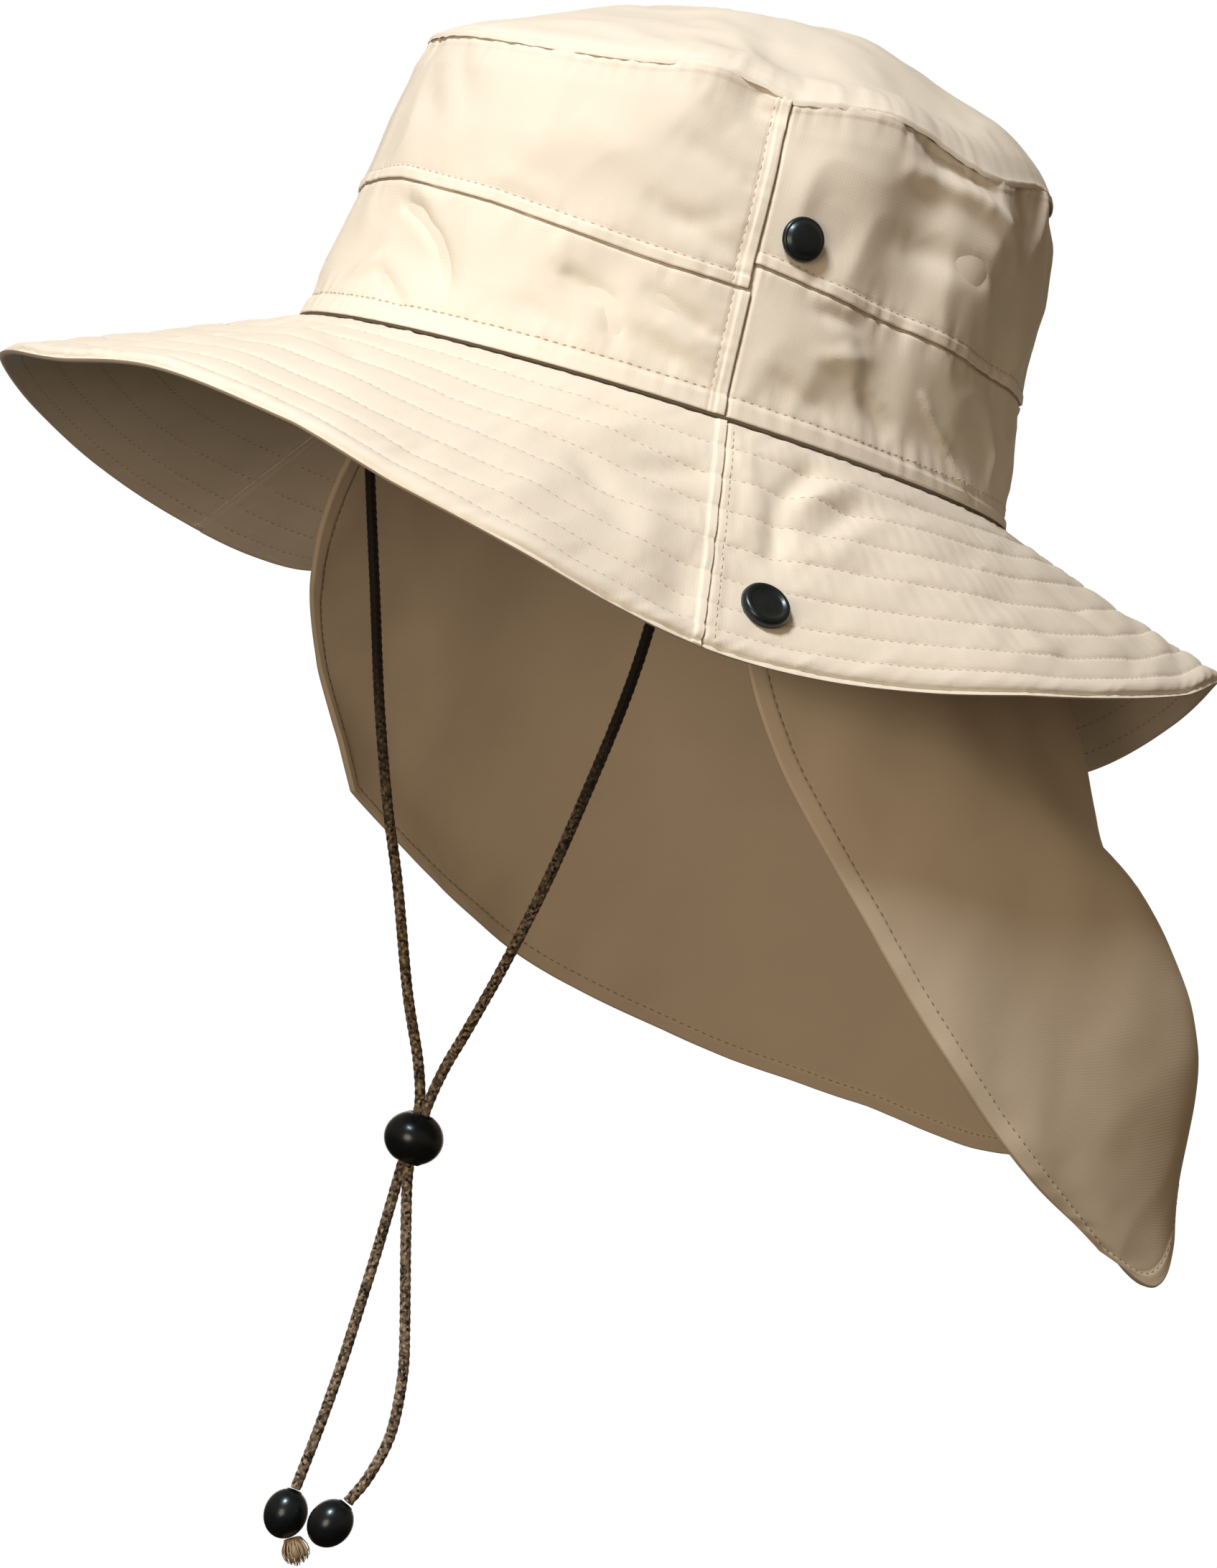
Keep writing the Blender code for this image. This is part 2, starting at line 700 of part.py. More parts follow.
def build():
    for thing in list(bpy.data.objects):
        bpy.data.objects.remove(thing, do_unlink=True)
    crown_top(cloth("top_cloth", (0.84, 0.78, 0.66), 0.72))
    front_upper = cloth("front_upper_cloth", (0.86, 0.80, 0.68), 0.7)
    front_lower = cloth("front_lower_cloth", (0.86, 0.80, 0.68), 0.7)
    back_upper = cloth("back_upper_cloth", (0.84, 0.78, 0.66), 0.7)
    back_lower = cloth("back_lower_cloth", (0.84, 0.78, 0.66), 0.7)
    wall_panel("crown_front_upper", False, True, FRONT_COLUMNS, front_upper)
    wall_panel("crown_front_lower", False, False, FRONT_COLUMNS, front_lower)
    wall_panel("crown_back_upper", True, True, BACK_COLUMNS, back_upper)
    wall_panel("crown_back_lower", True, False, BACK_COLUMNS, back_lower)
    brim_front = cloth("brim_front_cloth", (0.85, 0.79, 0.67), 0.74)
    brim_back = cloth("brim_back_cloth", (0.85, 0.79, 0.67), 0.74)
    brim_half("brim_front", False, FRONT_COLUMNS + 4, brim_front)
    brim_half("brim_back", True, BACK_COLUMNS + 8, brim_back)
    neck_flap(cloth("flap_cloth", (0.70, 0.61, 0.48), 0.78))
    crown_snap_stud(cloth("stud_black", (0.012, 0.012, 0.014), 0.35))
    brim_snap_socket(cloth("socket_black", (0.012, 0.012, 0.014), 0.38))
    left = cord_points(LEFT_CORD_MM)
    right = cord_points(RIGHT_CORD_MM)
    chin_cord("chin_cord_left", left, cloth("left_cord_braid", (0.16, 0.12, 0.08), 0.85))
    chin_cord("chin_cord_right", right, cloth("right_cord_braid", (0.16, 0.12, 0.08), 0.85))
    slide_bead(cloth("slide_bead_black", (0.012, 0.012, 0.014), 0.22))
    end_bead("end_bead_left", left, cloth("left_bead_black", (0.012, 0.012, 0.014), 0.22))
    end_bead("end_bead_right", right, cloth("right_bead_black", (0.012, 0.012, 0.014), 0.22))
    cord_end_knot(right, cloth("frayed_braid", (0.40, 0.30, 0.19), 0.9))


build()
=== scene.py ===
import bpy
import bmesh
import math
import random
import numpy as np
from mathutils import Matrix, Vector, noise


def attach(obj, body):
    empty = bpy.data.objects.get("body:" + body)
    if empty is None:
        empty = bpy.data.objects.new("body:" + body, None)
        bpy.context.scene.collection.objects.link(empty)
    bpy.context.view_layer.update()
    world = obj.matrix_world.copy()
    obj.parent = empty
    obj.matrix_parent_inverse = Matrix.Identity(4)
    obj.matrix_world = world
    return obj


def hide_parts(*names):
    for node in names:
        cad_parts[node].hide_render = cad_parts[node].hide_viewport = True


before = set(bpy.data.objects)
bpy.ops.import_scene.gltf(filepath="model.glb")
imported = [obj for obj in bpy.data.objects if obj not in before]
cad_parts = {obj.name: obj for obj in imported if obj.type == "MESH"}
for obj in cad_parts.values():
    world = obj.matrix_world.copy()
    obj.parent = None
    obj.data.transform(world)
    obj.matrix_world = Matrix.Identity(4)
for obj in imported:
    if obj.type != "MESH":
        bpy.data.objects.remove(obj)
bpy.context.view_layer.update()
mm = 0.001
dice = random.Random(7)

# Camera of the photo: level with the hat, rolled, on the wearer's left and partly towards the front
photoCamera = {
    "turn": 34.0,          # degrees from the wearer's left towards the front
    "tilt": -0.4,
    "roll": 16.35,
    "distance": 1.25,
    "pixelsPerMetre": 5300.0,
    "pictureHeight": 2184.0,
    "sensorHeight": 36.0,
    "targetReach": 0.0145,
    "targetHeight": -0.0933,
}


def aimPhotoCamera(c=photoCamera):
    turn, tilt, roll = (math.radians(c[k]) for k in ("turn", "tilt", "roll"))
    right = Vector((math.sin(turn), math.cos(turn), 0))
    target = right * c["targetReach"]
    target.z = c["targetHeight"]
    back = Vector((math.cos(turn) * math.cos(tilt), -math.sin(turn) * math.cos(tilt), math.sin(tilt)))
    up = back.cross(right)
    x = right * math.cos(roll) + up * math.sin(roll)
    y = up * math.cos(roll) - right * math.sin(roll)
    data = bpy.data.cameras.new("photoCamera")
    data.sensor_fit = "VERTICAL"
    data.sensor_height = c["sensorHeight"]
    data.lens = c["pixelsPerMetre"] * c["distance"] / c["pictureHeight"] * c["sensorHeight"]
    data.clip_start = 0.05
    camera = bpy.data.objects.new("photoCamera", data)
    place = Matrix((x, y, back)).transposed().to_4x4()
    place.translation = target + back * c["distance"]
    camera.matrix_world = place
    bpy.context.collection.objects.link(camera)
    bpy.context.scene.camera = camera
    return back


photoBack = aimPhotoCamera()
print("camera placed")


# Curves through tables, the same as in the CAD


def smooth(values, u):
    last = len(values) - 1
    i = min(int(u), last - 1)
    f = u - i
    p1 = values[i]
    p2 = values[i + 1]
    p0 = values[i - 1] if i > 0 else 2 * p1 - p2
    p3 = values[i + 2] if i + 2 <= last else 2 * p2 - p1
    return p1 + 0.5 * f * (p2 - p0 + f * (2 * p0 - 5 * p1 + 4 * p2 - p3 + f * (3 * (p1 - p2) + p3 - p0)))


def tableValue(rows, key, column):
    last = len(rows) - 1
    i = 0
    while i < last - 1 and key > rows[i + 1][0]:
        i += 1
    share = min(max((key - rows[i][0]) / (rows[i + 1][0] - rows[i][0]), 0.0), 1.0)
    return smooth([row[column] for row in rows], i + share)


def fade(x):
    x = min(max(x, 0.0), 1.0)
    return x * x * (3 - 2 * x)


def bump(x, width):
    return math.exp(-(x / width) ** 2)


def turnBetween(a, b):
    return (a - b + 180) % 360 - 180


def edgeRoll(away, half):
    # share of the half thickness that a rounded edge loses at this distance from it
    return 1 - math.sqrt(max(1 - (1 - away / half) ** 2, 0.0))


def panelSteps(near, length, gap):
    # places along a panel in millimetres, close together near both ends
    far = int((length - 15) / gap)
    inner = near[-1]
    middle = [inner + (length - 2 * inner) * (k + 1) / (far + 1) for k in range(far)]
    return near + middle + [length - n for n in near[::-1]]


# Materials


def feed(tree, node, inputs):
    # a socket's name or number, with a value or with another node's socket
    for key, value in inputs.items():
        if isinstance(value, bpy.types.NodeSocket):
            tree.links.new(value, node.inputs[key])
        elif isinstance(value, tuple) and len(value) == 3:
            node.inputs[key].default_value = (*value, 1)
        else:
            node.inputs[key].default_value = value


def addNode(tree, kind, inputs, **settings):
    node = tree.nodes.new("ShaderNode" + kind)
    for key, value in settings.items():
        setattr(node, key, value)
    feed(tree, node, inputs)
    return node


def newMaterial(name):
    material = bpy.data.materials.new(name)
    material.use_nodes = True
    tree = material.node_tree
    return material, tree, tree.nodes["Principled BSDF"]


def maths(tree, kind, a, b):
    return addNode(tree, "Math", {0: a, 1: b}, operation=kind).outputs[0]


def mixColour(tree, factor, a, b, kind="MIX"):
    return addNode(tree, "Mix", {0: factor, 6: a, 7: b}, data_type="RGBA", blend_type=kind).outputs[2]


def noiseFactor(tree, vector, scale, detail=3.0, roughness=0.5):
    inputs = {"Vector": vector, "Scale": scale, "Detail": detail, "Roughness": roughness}
    return addNode(tree, "TexNoise", inputs).outputs["Fac"]


def objectSpot(tree):
    return addNode(tree, "TexCoord", {}).outputs["Object"]


def pointValue(tree, name):
    return addNode(tree, "Attribute", {}, attribute_name=name).outputs["Fac"]


def bumped(tree, height, strength, distance):
    inputs = {"Height": height, "Strength": strength, "Distance": distance}
    return addNode(tree, "Bump", inputs).outputs["Normal"]


# Plain-weave cotton: threads follow the cloth's own lengthwise and crosswise directions
clothLook = {
    "threadPitch": 0.00042,    # metres from thread to thread
    "weaveHeight": 0.00005,
    "weaveBump": 0.35,
    "mottle": 0.06,            # blotchy colour variation
    "blotchScale": 38,
    "slubScale": 900,
    "roughness": 0.82,
    "slubRoughness": 0.12,
    "specular": 0.25,
    "sheen": 0.12,
    "sheenTint": (1, 0.93, 0.82),
    "paintedCreviceShade": (0.16, 0.11, 0.07),    # painted shade deep in a seam: share of the colour left there
}


def clothMaterial(name, colour, seamColour, look=clothLook):
    material, tree, principled = newMaterial(name)
    uv = addNode(tree, "UVMap", {}, uv_map="cloth").outputs["UV"]
    weave = []
    for axis in ("X", "Y"):    # at scale 1 a wave is 0.314 long
        inputs = {"Vector": uv, "Scale": 0.314 / look["threadPitch"] / 2, "Distortion": 0.5, "Detail": 1.0,
                  "Detail Scale": 0.4}
        wave = addNode(tree, "TexWave", inputs, wave_type="BANDS", bands_direction=axis)
        weave.append(maths(tree, "MULTIPLY", wave.outputs["Fac"], 0.5))
    threads = maths(tree, "ADD", weave[0], weave[1])
    spot = objectSpot(tree)
    slub = noiseFactor(tree, spot, look["slubScale"], 2)
    # the point value is wear above zero, lightening the cloth towards the seam colour, and painted shade below
    # zero, darkening it in the seams
    wearAndPaintedShade = pointValue(tree, "wearAndPaintedShade")
    base = colour
    for factor, share, other in (
            (noiseFactor(tree, spot, look["blotchScale"], 4), 0.9,
             tuple(c * (1 - look["mottle"] * k) for c, k in zip(colour, (1.0, 1.15, 1.4)))),
            (threads, 0.10, tuple(c * 0.8 for c in colour)),
            (wearAndPaintedShade, 0.6, seamColour),
            (wearAndPaintedShade, -1.0, tuple(c * k for c, k in zip(colour, look["paintedCreviceShade"])))):    # painted shade below zero, down in a seam
        base = mixColour(tree, maths(tree, "MULTIPLY", factor, share), base, other)
    rough = maths(tree, "MULTIPLY", slub, look["slubRoughness"])
    height = maths(tree, "ADD", threads, maths(tree, "MULTIPLY", slub, 0.5))
    feed(tree, principled, {
        "Base Color": base,
        "Roughness": maths(tree, "ADD", rough, look["roughness"] - look["slubRoughness"] / 2),
        "Specular IOR Level": look["specular"],
        "Sheen Weight": look["sheen"],
        "Sheen Roughness": 0.45,
        "Sheen Tint": look["sheenTint"],
        "Normal": bumped(tree, height, look["weaveBump"], look["weaveHeight"]),
    })
    return material


def threadMaterial(name, colour):
    material, tree, principled = newMaterial(name)
    twist = noiseFactor(tree, objectSpot(tree), 2600, 2)
    feed(tree, principled, {
        "Base Color": mixColour(tree, twist, colour, tuple(c * 0.72 for c in colour)),
        "Roughness": 0.7,
        "Specular IOR Level": 0.3,
        "Normal": bumped(tree, twist, 0.4, 0.00008),
    })
    return material


def blackPlastic(name, roughness, coat):
    material, tree, principled = newMaterial(name)
    spot = objectSpot(tree)
    haze = noiseFactor(tree, spot, 420, 4, 0.6)
    feed(tree, principled, {
        "Base Color": mixColour(tree, haze, (0.004, 0.006, 0.008), (0.009, 0.012, 0.015)),
        "Roughness": maths(tree, "ADD", maths(tree, "MULTIPLY", haze, 0.16), roughness - 0.08),
        "Specular Tint": (0.70, 0.88, 1.0),
        "Coat Weight": coat,
        "Coat Roughness": 0.12,
        "Normal": bumped(tree, noiseFactor(tree, spot, 3200, 2), 0.12, 0.00005),
    })
    return material


crownLook = clothMaterial("crownCloth", (0.82, 0.785, 0.70), (0.87, 0.838, 0.755))
brimLook = clothMaterial("brimCloth", (0.82, 0.782, 0.695), (0.87, 0.838, 0.755))
# the flap's cloth is the crown's cloth made darker and browner: painted shade, for the flap hangs in the brim's
# shade
flapLook = clothMaterial("flapCloth", (0.72, 0.64, 0.525), (0.84, 0.76, 0.63))
stitchLook = threadMaterial("stitchThread", (0.62, 0.54, 0.42))
# the flap's thread is the stitching thread made darker and browner: painted shade, as for the flap's cloth
flapStitchLook = threadMaterial("flapThread", (0.46, 0.37, 0.26))
print("cloth materials made")


# Meshes


def linkPiece(name, data, material, node=None):
    data.materials.append(material)
    piece = bpy.data.objects.new(name, data)
    bpy.context.collection.objects.link(piece)
    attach(piece, "root")
    if node:
        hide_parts(node)
    return piece


def tubePiece(name, verts, faces, material, slot, node=None):
    data = bpy.data.meshes.new(name)
    data.from_pydata(verts, [], faces)
    data.shade_smooth()
    return linkPiece(name, data, material, node)


def gridNormals(points, outwards):
    down = np.gradient(points, axis=0)
    along = np.gradient(points, axis=1)
    normals = np.cross(along, down)
    normals /= np.maximum(np.linalg.norm(normals, axis=2, keepdims=True), 1e-12)
    return normals * outwards


def tidyFaces(data, sharp, weld=0.0):
    # all faces outwards, smooth but for the edges sharper than the angle
    mesh = bmesh.new()
    mesh.from_mesh(data)
    if weld:
        bmesh.ops.remove_doubles(mesh, verts=mesh.verts, dist=weld)
    bmesh.ops.recalc_face_normals(mesh, faces=mesh.faces)
    mesh.to_mesh(data)
    mesh.free()
    data.shade_smooth()
    data.set_sharp_from_angle(angle=math.radians(sharp))


def clothMesh(name, verts, faces, uvs, wearAndPaintedShade):
    # the upper and the lower grid have the same places on the cloth, and only the upper one carries wear and
    # painted shade
    data = bpy.data.meshes.new(name)
    data.from_pydata(verts, [], faces)
    both = np.concatenate((uvs.reshape(-1, 2), uvs.reshape(-1, 2)))
    layer = data.uv_layers.new(name="cloth")
    corners = np.empty(len(data.loops), dtype=np.int32)
    data.loops.foreach_get("vertex_index", corners)
    layer.data.foreach_set("uv", both[corners].astype(np.float32).ravel())
    worn = data.attributes.new("wearAndPaintedShade", "FLOAT", "POINT")
    worn.data.foreach_set("value", np.concatenate((wearAndPaintedShade.ravel(), wearAndPaintedShade.ravel() * 0)).astype(np.float32))
    return data


def clothSheet(name, node, outer, inner, uvs, wearAndPaintedShade, material):
    # one closed sheet of cloth between two grids, with a rim of its own all round
    rows, columns = outer.shape[:2]
    verts = np.concatenate((outer.reshape(-1, 3), inner.reshape(-1, 3)))
    index = np.arange(rows * columns).reshape(rows, columns)
    a, b, c, d = index[:-1, :-1], index[:-1, 1:], index[1:, 1:], index[1:, :-1]
    top = np.stack((a, b, c, d), axis=-1).reshape(-1, 4)
    under = top[:, ::-1] + rows * columns
    loop = np.concatenate((index[0, :], index[1:, -1], index[-1, -2::-1], index[-2:0:-1, 0]))
    after = np.roll(loop, -1)
    rim = np.stack((after, loop, loop + rows * columns, after + rows * columns), axis=-1)
    data = clothMesh(name, verts.tolist(), np.concatenate((top, under, rim)).tolist(), uvs, wearAndPaintedShade)
    tidyFaces(data, 62)
    return linkPiece(name, data, material, node)


def grain(x, y, z):
    return noise.noise(Vector((x, y, z)))


def soft(x, y, z, size, seed):
    return grain(x / size + seed, y / size, z / size)


def ripple(x, y, z, size, seed):
    # folded noise: soft broad hills with narrow creases between them, -1 to 1
    return 1 - 2 * min(abs(soft(x, y, z, size, seed)) * 2.4, 1.0)


def creaseDepth(creases, s, t):
    # each crease: from (s, t) to (s, t), half width, height; all in millimetres but the angles
    total = 0.0
    for s0, t0, s1, t1, width, height in creases:
        ds = s1 - s0
        dt = t1 - t0
        length = ds * ds + dt * dt
        share = min(max(((s - s0) * ds + (t - t0) * dt) / length, 0.0), 1.0)
        away = math.hypot(s - s0 - share * ds, t - t0 - share * dt)
        if away < 3 * width:
            ends = 0.5 + 0.5 * fade(4 * min(share, 1 - share))
            total += height * math.exp(-(away / width) ** 2) * ends
    return total


def tubeFaces(faces, first, rings, sides):
    # a tube of rings of vertices, closed by one face at each end
    for ring in range(first, first + (rings - 1) * sides, sides):
        for k in range(sides):
            n = (k + 1) % sides
            faces.append((ring + k, ring + n, ring + n + sides, ring + k + sides))
    faces.append(tuple(range(first + sides - 1, first - 1, -1)))
    faces.append(tuple(range(first + (rings - 1) * sides, first + rings * sides)))


# Stitches: short capsules of thread laid along a row, half sunk in the cloth
stitchSize = {
    "pitch": 0.0024,
    "length": 0.0018,
    "width": 0.00044,
    "stand": 0.00004,
    "sides": 5,
}
stitchRings = ((-0.5, 0.35), (-0.36, 0.92), (0.0, 1.0), (0.36, 0.92), (0.5, 0.35))    # place along, radius


def stitchRow(verts, faces, spots, normals, size=stitchSize):
    travelled = [0.0]
    for p, q in zip(spots, spots[1:]):
        travelled.append(travelled[-1] + (q - p).length)
    count = int(travelled[-1] / size["pitch"])
    place = 0
    for k in range(count):
        wanted = (k + 0.5) * size["pitch"]
        while place < len(travelled) - 2 and travelled[place + 1] < wanted:
            place += 1
        span = max(travelled[place + 1] - travelled[place], 1e-9)
        share = (wanted - travelled[place]) / span
        way = (spots[place + 1] - spots[place]).normalized()
        up = normals[place].lerp(normals[place + 1], share).normalized()
        side = way.cross(up).normalized()
        up = side.cross(way)
        centre = spots[place].lerp(spots[place + 1], share) + up * size["stand"]
        way = (way + side * dice.uniform(-0.05, 0.05)).normalized()
        first = len(verts)
        for along, radius in stitchRings:
            sink = up * size["width"] * (0.9 * (abs(along) * 2) ** 3)
            for corner in range(size["sides"]):
                a = 2 * math.pi * (corner + 0.25) / size["sides"]
                out = side * math.cos(a) + up * math.sin(a) * 0.75
                verts.append(centre + way * along * size["length"] + out * radius * size["width"] / 2 - sink)
        tubeFaces(faces, first, len(stitchRings), size["sides"])


def gridSpot(grid, i, j):
    # point between the corners of a numpy grid
    i = min(max(i, 0.0), grid.shape[0] - 1.001)
    j = min(max(j, 0.0), grid.shape[1] - 1.001)
    a, b = int(i), int(j)
    f, g = i - a, j - b
    near = grid[a, b] * (1 - g) + grid[a, b + 1] * g
    return Vector(near * (1 - f) + (grid[a + 1, b] * (1 - g) + grid[a + 1, b + 1] * g) * f)


# Chin cord
chinCord = {
    "diameter": 0.003,
    "sides": 24,
    "ringStep": 0.00042,
    "strands": 8,
    "plaitPitch": 0.0088,      # one turn of a strand
    "plaitHeight": 0.00022,
    "dark": (0.014, 0.011, 0.009),
    "brown": (0.26, 0.205, 0.15),
    "tan": (0.60, 0.50, 0.385),
}

leftCordRoute = (
    (0.0756, -0.0436, -0.0032),
    (0.0742, -0.0406, -0.0110),
    (0.0665, -0.0305, -0.0320),
    (0.0572, -0.0226, -0.0510),
    (0.0480, -0.0174, -0.0730),
    (0.0368, -0.0136, -0.1010),
    (0.0273, -0.0109, -0.1230),
    (0.0180, -0.0097, -0.1450),
    (0.0102, -0.0098, -0.1640),
    (0.0046, -0.0100, -0.1770),
    (0.0018, -0.0100, -0.1880),
    (0.00175, -0.0100, -0.1965),
    (0.0018, -0.0100, -0.2050),
    (0.0046, -0.0066, -0.2220),
    (0.0082, -0.0012, -0.2450),
    (0.0098, 0.0012, -0.2570),
    (0.0107, 0.0021, -0.2720),
    (0.0097, 0.0000, -0.2840),
    (0.0080, -0.0030, -0.2922),
)

rightCordRoute = (
    (-0.0756, -0.0436, -0.0032),
    (-0.0736, -0.0430, -0.0130),
    (-0.0670, -0.0417, -0.0270),
    (-0.0608, -0.0396, -0.0420),
    (-0.0522, -0.0367, -0.0624),
    (-0.0410, -0.0326, -0.0900),
    (-0.0308, -0.0277, -0.1148),
    (-0.0224, -0.0230, -0.1340),
    (-0.0118, -0.0172, -0.1604),
    (-0.0048, -0.0124, -0.1770),
    (-0.0018, -0.0100, -0.1880),
    (-0.00175, -0.0100, -0.1965),
    (-0.0018, -0.0100, -0.2050),
    (-0.0020, -0.0098, -0.2270),
    (-0.0028, -0.0096, -0.2450),
    (-0.0034, -0.0096, -0.2600),
    (-0.0044, -0.0101, -0.2770),
    (-0.0056, -0.0110, -0.2936),
)


def cordMaterial(name, c=chinCord):
    # near black at the hat is painted shade under the brim, turning to the braid's own brown flecked with tan
    # towards the beads
    material, tree, principled = newMaterial(name)
    spot = objectSpot(tree)
    fleck = addNode(tree, "TexVoronoi", {"Vector": spot, "Scale": 1300})
    pick = addNode(tree, "SeparateColor", {0: fleck.outputs["Color"]})
    ramp = addNode(tree, "ValToRGB", {0: pick.outputs[0]})
    stops = ramp.color_ramp.elements
    stops.new(0.5)
    for stop, place, colour in zip(stops, (0.08, 0.5, 1.0), ("dark", "brown", "tan")):
        stop.position = place
        stop.color = (*c[colour], 1)
    # painted shade near black on the upper cord, the braid's own flecks lower down
    base = mixColour(tree, pointValue(tree, "lower"), c["dark"], ramp.outputs[0])
    # painted shade in the grooves between the strands, with a slight painted highlight on their crowns
    shade = mixColour(tree, pointValue(tree, "plait"), (0.35, 0.33, 0.30), (1.1, 1.08, 1.05))
    feed(tree, principled, {
        "Base Color": mixColour(tree, 1.0, base, shade, "MULTIPLY"),
        "Roughness": 0.66,
        "Specular IOR Level": 0.35,
        "Sheen Weight": 0.15,
        "Normal": bumped(tree, noiseFactor(tree, spot, 3500, 2), 0.5, 0.0001),
    })
    return material


def cordPath(route, step=chinCord["ringStep"], parts=1500):
    last = len(route) - 1
    knots = [Vector(p) for p in route]
    fine = [smooth(knots, last * i / parts) for i in range(parts + 1)]
    length = [0.0]
    for p, q in zip(fine, fine[1:]):
        length.append(length[-1] + (q - p).length)
    count = round(length[-1] / step)
    path = []
    i = 0
    for k in range(count + 1):
        wanted = length[-1] * k / count
        while i < parts and length[i] < wanted:
            i += 1
        path.append(fine[i])
    return path, length[-1]


def braidedCord(name, node, route, material, c=chinCord):
    path, length = cordPath(route)
    sides = c["sides"]
    verts = []
    plait = []
    lower = []
    across = Vector((0, 1, 0))
    for i, p in enumerate(path):
        way = (path[min(i + 1, len(path) - 1)] - path[max(i - 1, 0)]).normalized()
        across = (across - way * across.dot(way)).normalized()
        other = way.cross(across)
        turn = 2 * math.pi * i * c["ringStep"] / c["plaitPitch"]
        for k in range(sides):
            a = 2 * math.pi * k / sides
            half = c["strands"] / 2
            one = abs(math.cos(half * (a + turn) / 2))
            two = abs(math.cos(half * (a - turn) / 2))
            high = one if math.sin(half * a) * math.sin(half * turn) > 0 else two
            height = max(high, 0.75 * min(one, two))
            radius = c["diameter"] / 2 - c["plaitHeight"] * (1 - height)
            verts.append(p + (across * math.cos(a) + other * math.sin(a)) * radius)
            plait.append(height)
            # the cord's upper part, under the brim, gets painted shade that fades out lower down
            lower.append(fade((-p.z - 0.07) / 0.08))
    faces = []
    tubeFaces(faces, 0, len(path), sides)
    piece = tubePiece(name, verts, faces, material, "cord_braid", node)
    for label, values in (("plait", plait), ("lower", lower)):
        layer = piece.data.attributes.new(label, "FLOAT", "POINT")
        layer.data.foreach_set("value", values)
    print(name, "is", round(length * 1000), "mm long")


# Beads on the cord
beadSizes = {
    "slideDiameter": 0.0158,
    "slideHeight": 0.0142,
    "slideCentre": (-0.010, -0.1965),    # back to front and up; it hangs in the middle
    "endDiameter": 0.0115,
    "endHeight": 0.0134,
    "holeAcross": 0.0037,      # half width of the slide bead's hole, along both cords
    "holeDeep": 0.0021,
    "mouth": (1.12, 1.2),      # the hole is wider at its ends by these shares
    "gap": 0.0004,             # from the cord's end to the end bead, and from there to the frayed end
    "sides": 56,
}
beadLook = blackPlastic("beadBlack", 0.27, 0.12)
snapLook = blackPlastic("snapBlack", 0.34, 0.15)


def lathe(name, node, profile, sides, material, centre, axis):
    # profile rows are radius and place along the axis; a row of radius 0 closes an end
    verts = []
    faces = []
    rings = []
    for radius, along in profile:
        if radius == 0:
            rings.append([len(verts)])
            verts.append((0, 0, along))
            continue
        rings.append(list(range(len(verts), len(verts) + sides)))
        for k in range(sides):
            a = 2 * math.pi * k / sides
            verts.append((radius * math.cos(a), radius * math.sin(a), along))
    for low, high in zip(rings, rings[1:]):
        for k in range(sides):
            n = (k + 1) % sides
            corners = []
            for v in (low[k % len(low)], low[n % len(low)], high[n % len(high)], high[k % len(high)]):
                if v not in corners:
                    corners.append(v)
            faces.append(corners)
    turn = Vector((0, 0, 1)).rotation_difference(axis).to_matrix().to_4x4()
    turn.translation = centre
    data = bpy.data.meshes.new(name)
    data.from_pydata(verts, [], faces)
    data.transform(turn)
    tidyFaces(data, 50)
    return linkPiece(name, data, material, node)


def endBead(name, node, path, s=beadSizes):
    way = (path[-1] - path[-20]).normalized()
    centre = path[-1] + way * (s["endHeight"] / 2 + s["gap"])
    radius = s["endDiameter"] / 2
    half = s["endHeight"] / 2
    # the cord goes into a small dimple
    profile = [(0, -half + 0.0012), (0.0013, -half + 0.0011), (0.00175, -half + 0.0006), (0.0021, -half * 0.95)]
    for k in range(2, 18):
        a = math.radians(-90 + 10 * k)
        profile.append((radius * math.cos(a), half * math.sin(a)))
    profile += [(0.0004, half * 0.998), (0, half)]
    return lathe(name, node, profile, s["sides"], beadLook, centre, way), centre, way


def slideBead(s=beadSizes):
    # rings are half width, half depth and share of the height, from one end of the hole to the other
    sides = s["sides"]
    hole = (s["holeAcross"], s["holeDeep"])
    mouth = (hole[0] * s["mouth"][0], hole[1] * s["mouth"][1])
    rings = [(*hole, -0.46), (*mouth, -0.465)]
    for k in range(17):
        a = math.radians(-60 + 7.5 * k)
        radius = s["slideDiameter"] / 2 * math.cos(a)
        rings.append((radius, radius, 0.5 * math.sin(a)))
    rings += [(*mouth, 0.465), (*hole, 0.46)]
    y, z = s["slideCentre"]
    verts = []
    for across, deep, level in rings:
        for k in range(sides):
            a = 2 * math.pi * k / sides
            verts.append((across * math.cos(a), deep * math.sin(a) + y, level * s["slideHeight"] + z))
    faces = []
    for i in range(len(rings)):
        j = (i + 1) % len(rings)
        for k in range(sides):
            n = (k + 1) % sides
            faces.append((i * sides + k, i * sides + n, j * sides + n, j * sides + k))
    piece = tubePiece("slideBead", verts, faces, beadLook, "bead_black", "slide_bead")
    piece.data.set_sharp_from_angle(angle=math.radians(50))
    return piece


# Frayed end below the right half's bead
frayedEnd = {
    "strands": 120,
    "length": 0.0076,
    "root": 0.0021,            # radius where the strands begin
    "spread": 0.0014,
    "curl": 0.0007,
    "thickness": 0.00040,
    "spiral": 2.39996,         # radians from strand to strand, which spreads them evenly
    "lean": (0.28, 0.42, -0.86),
}


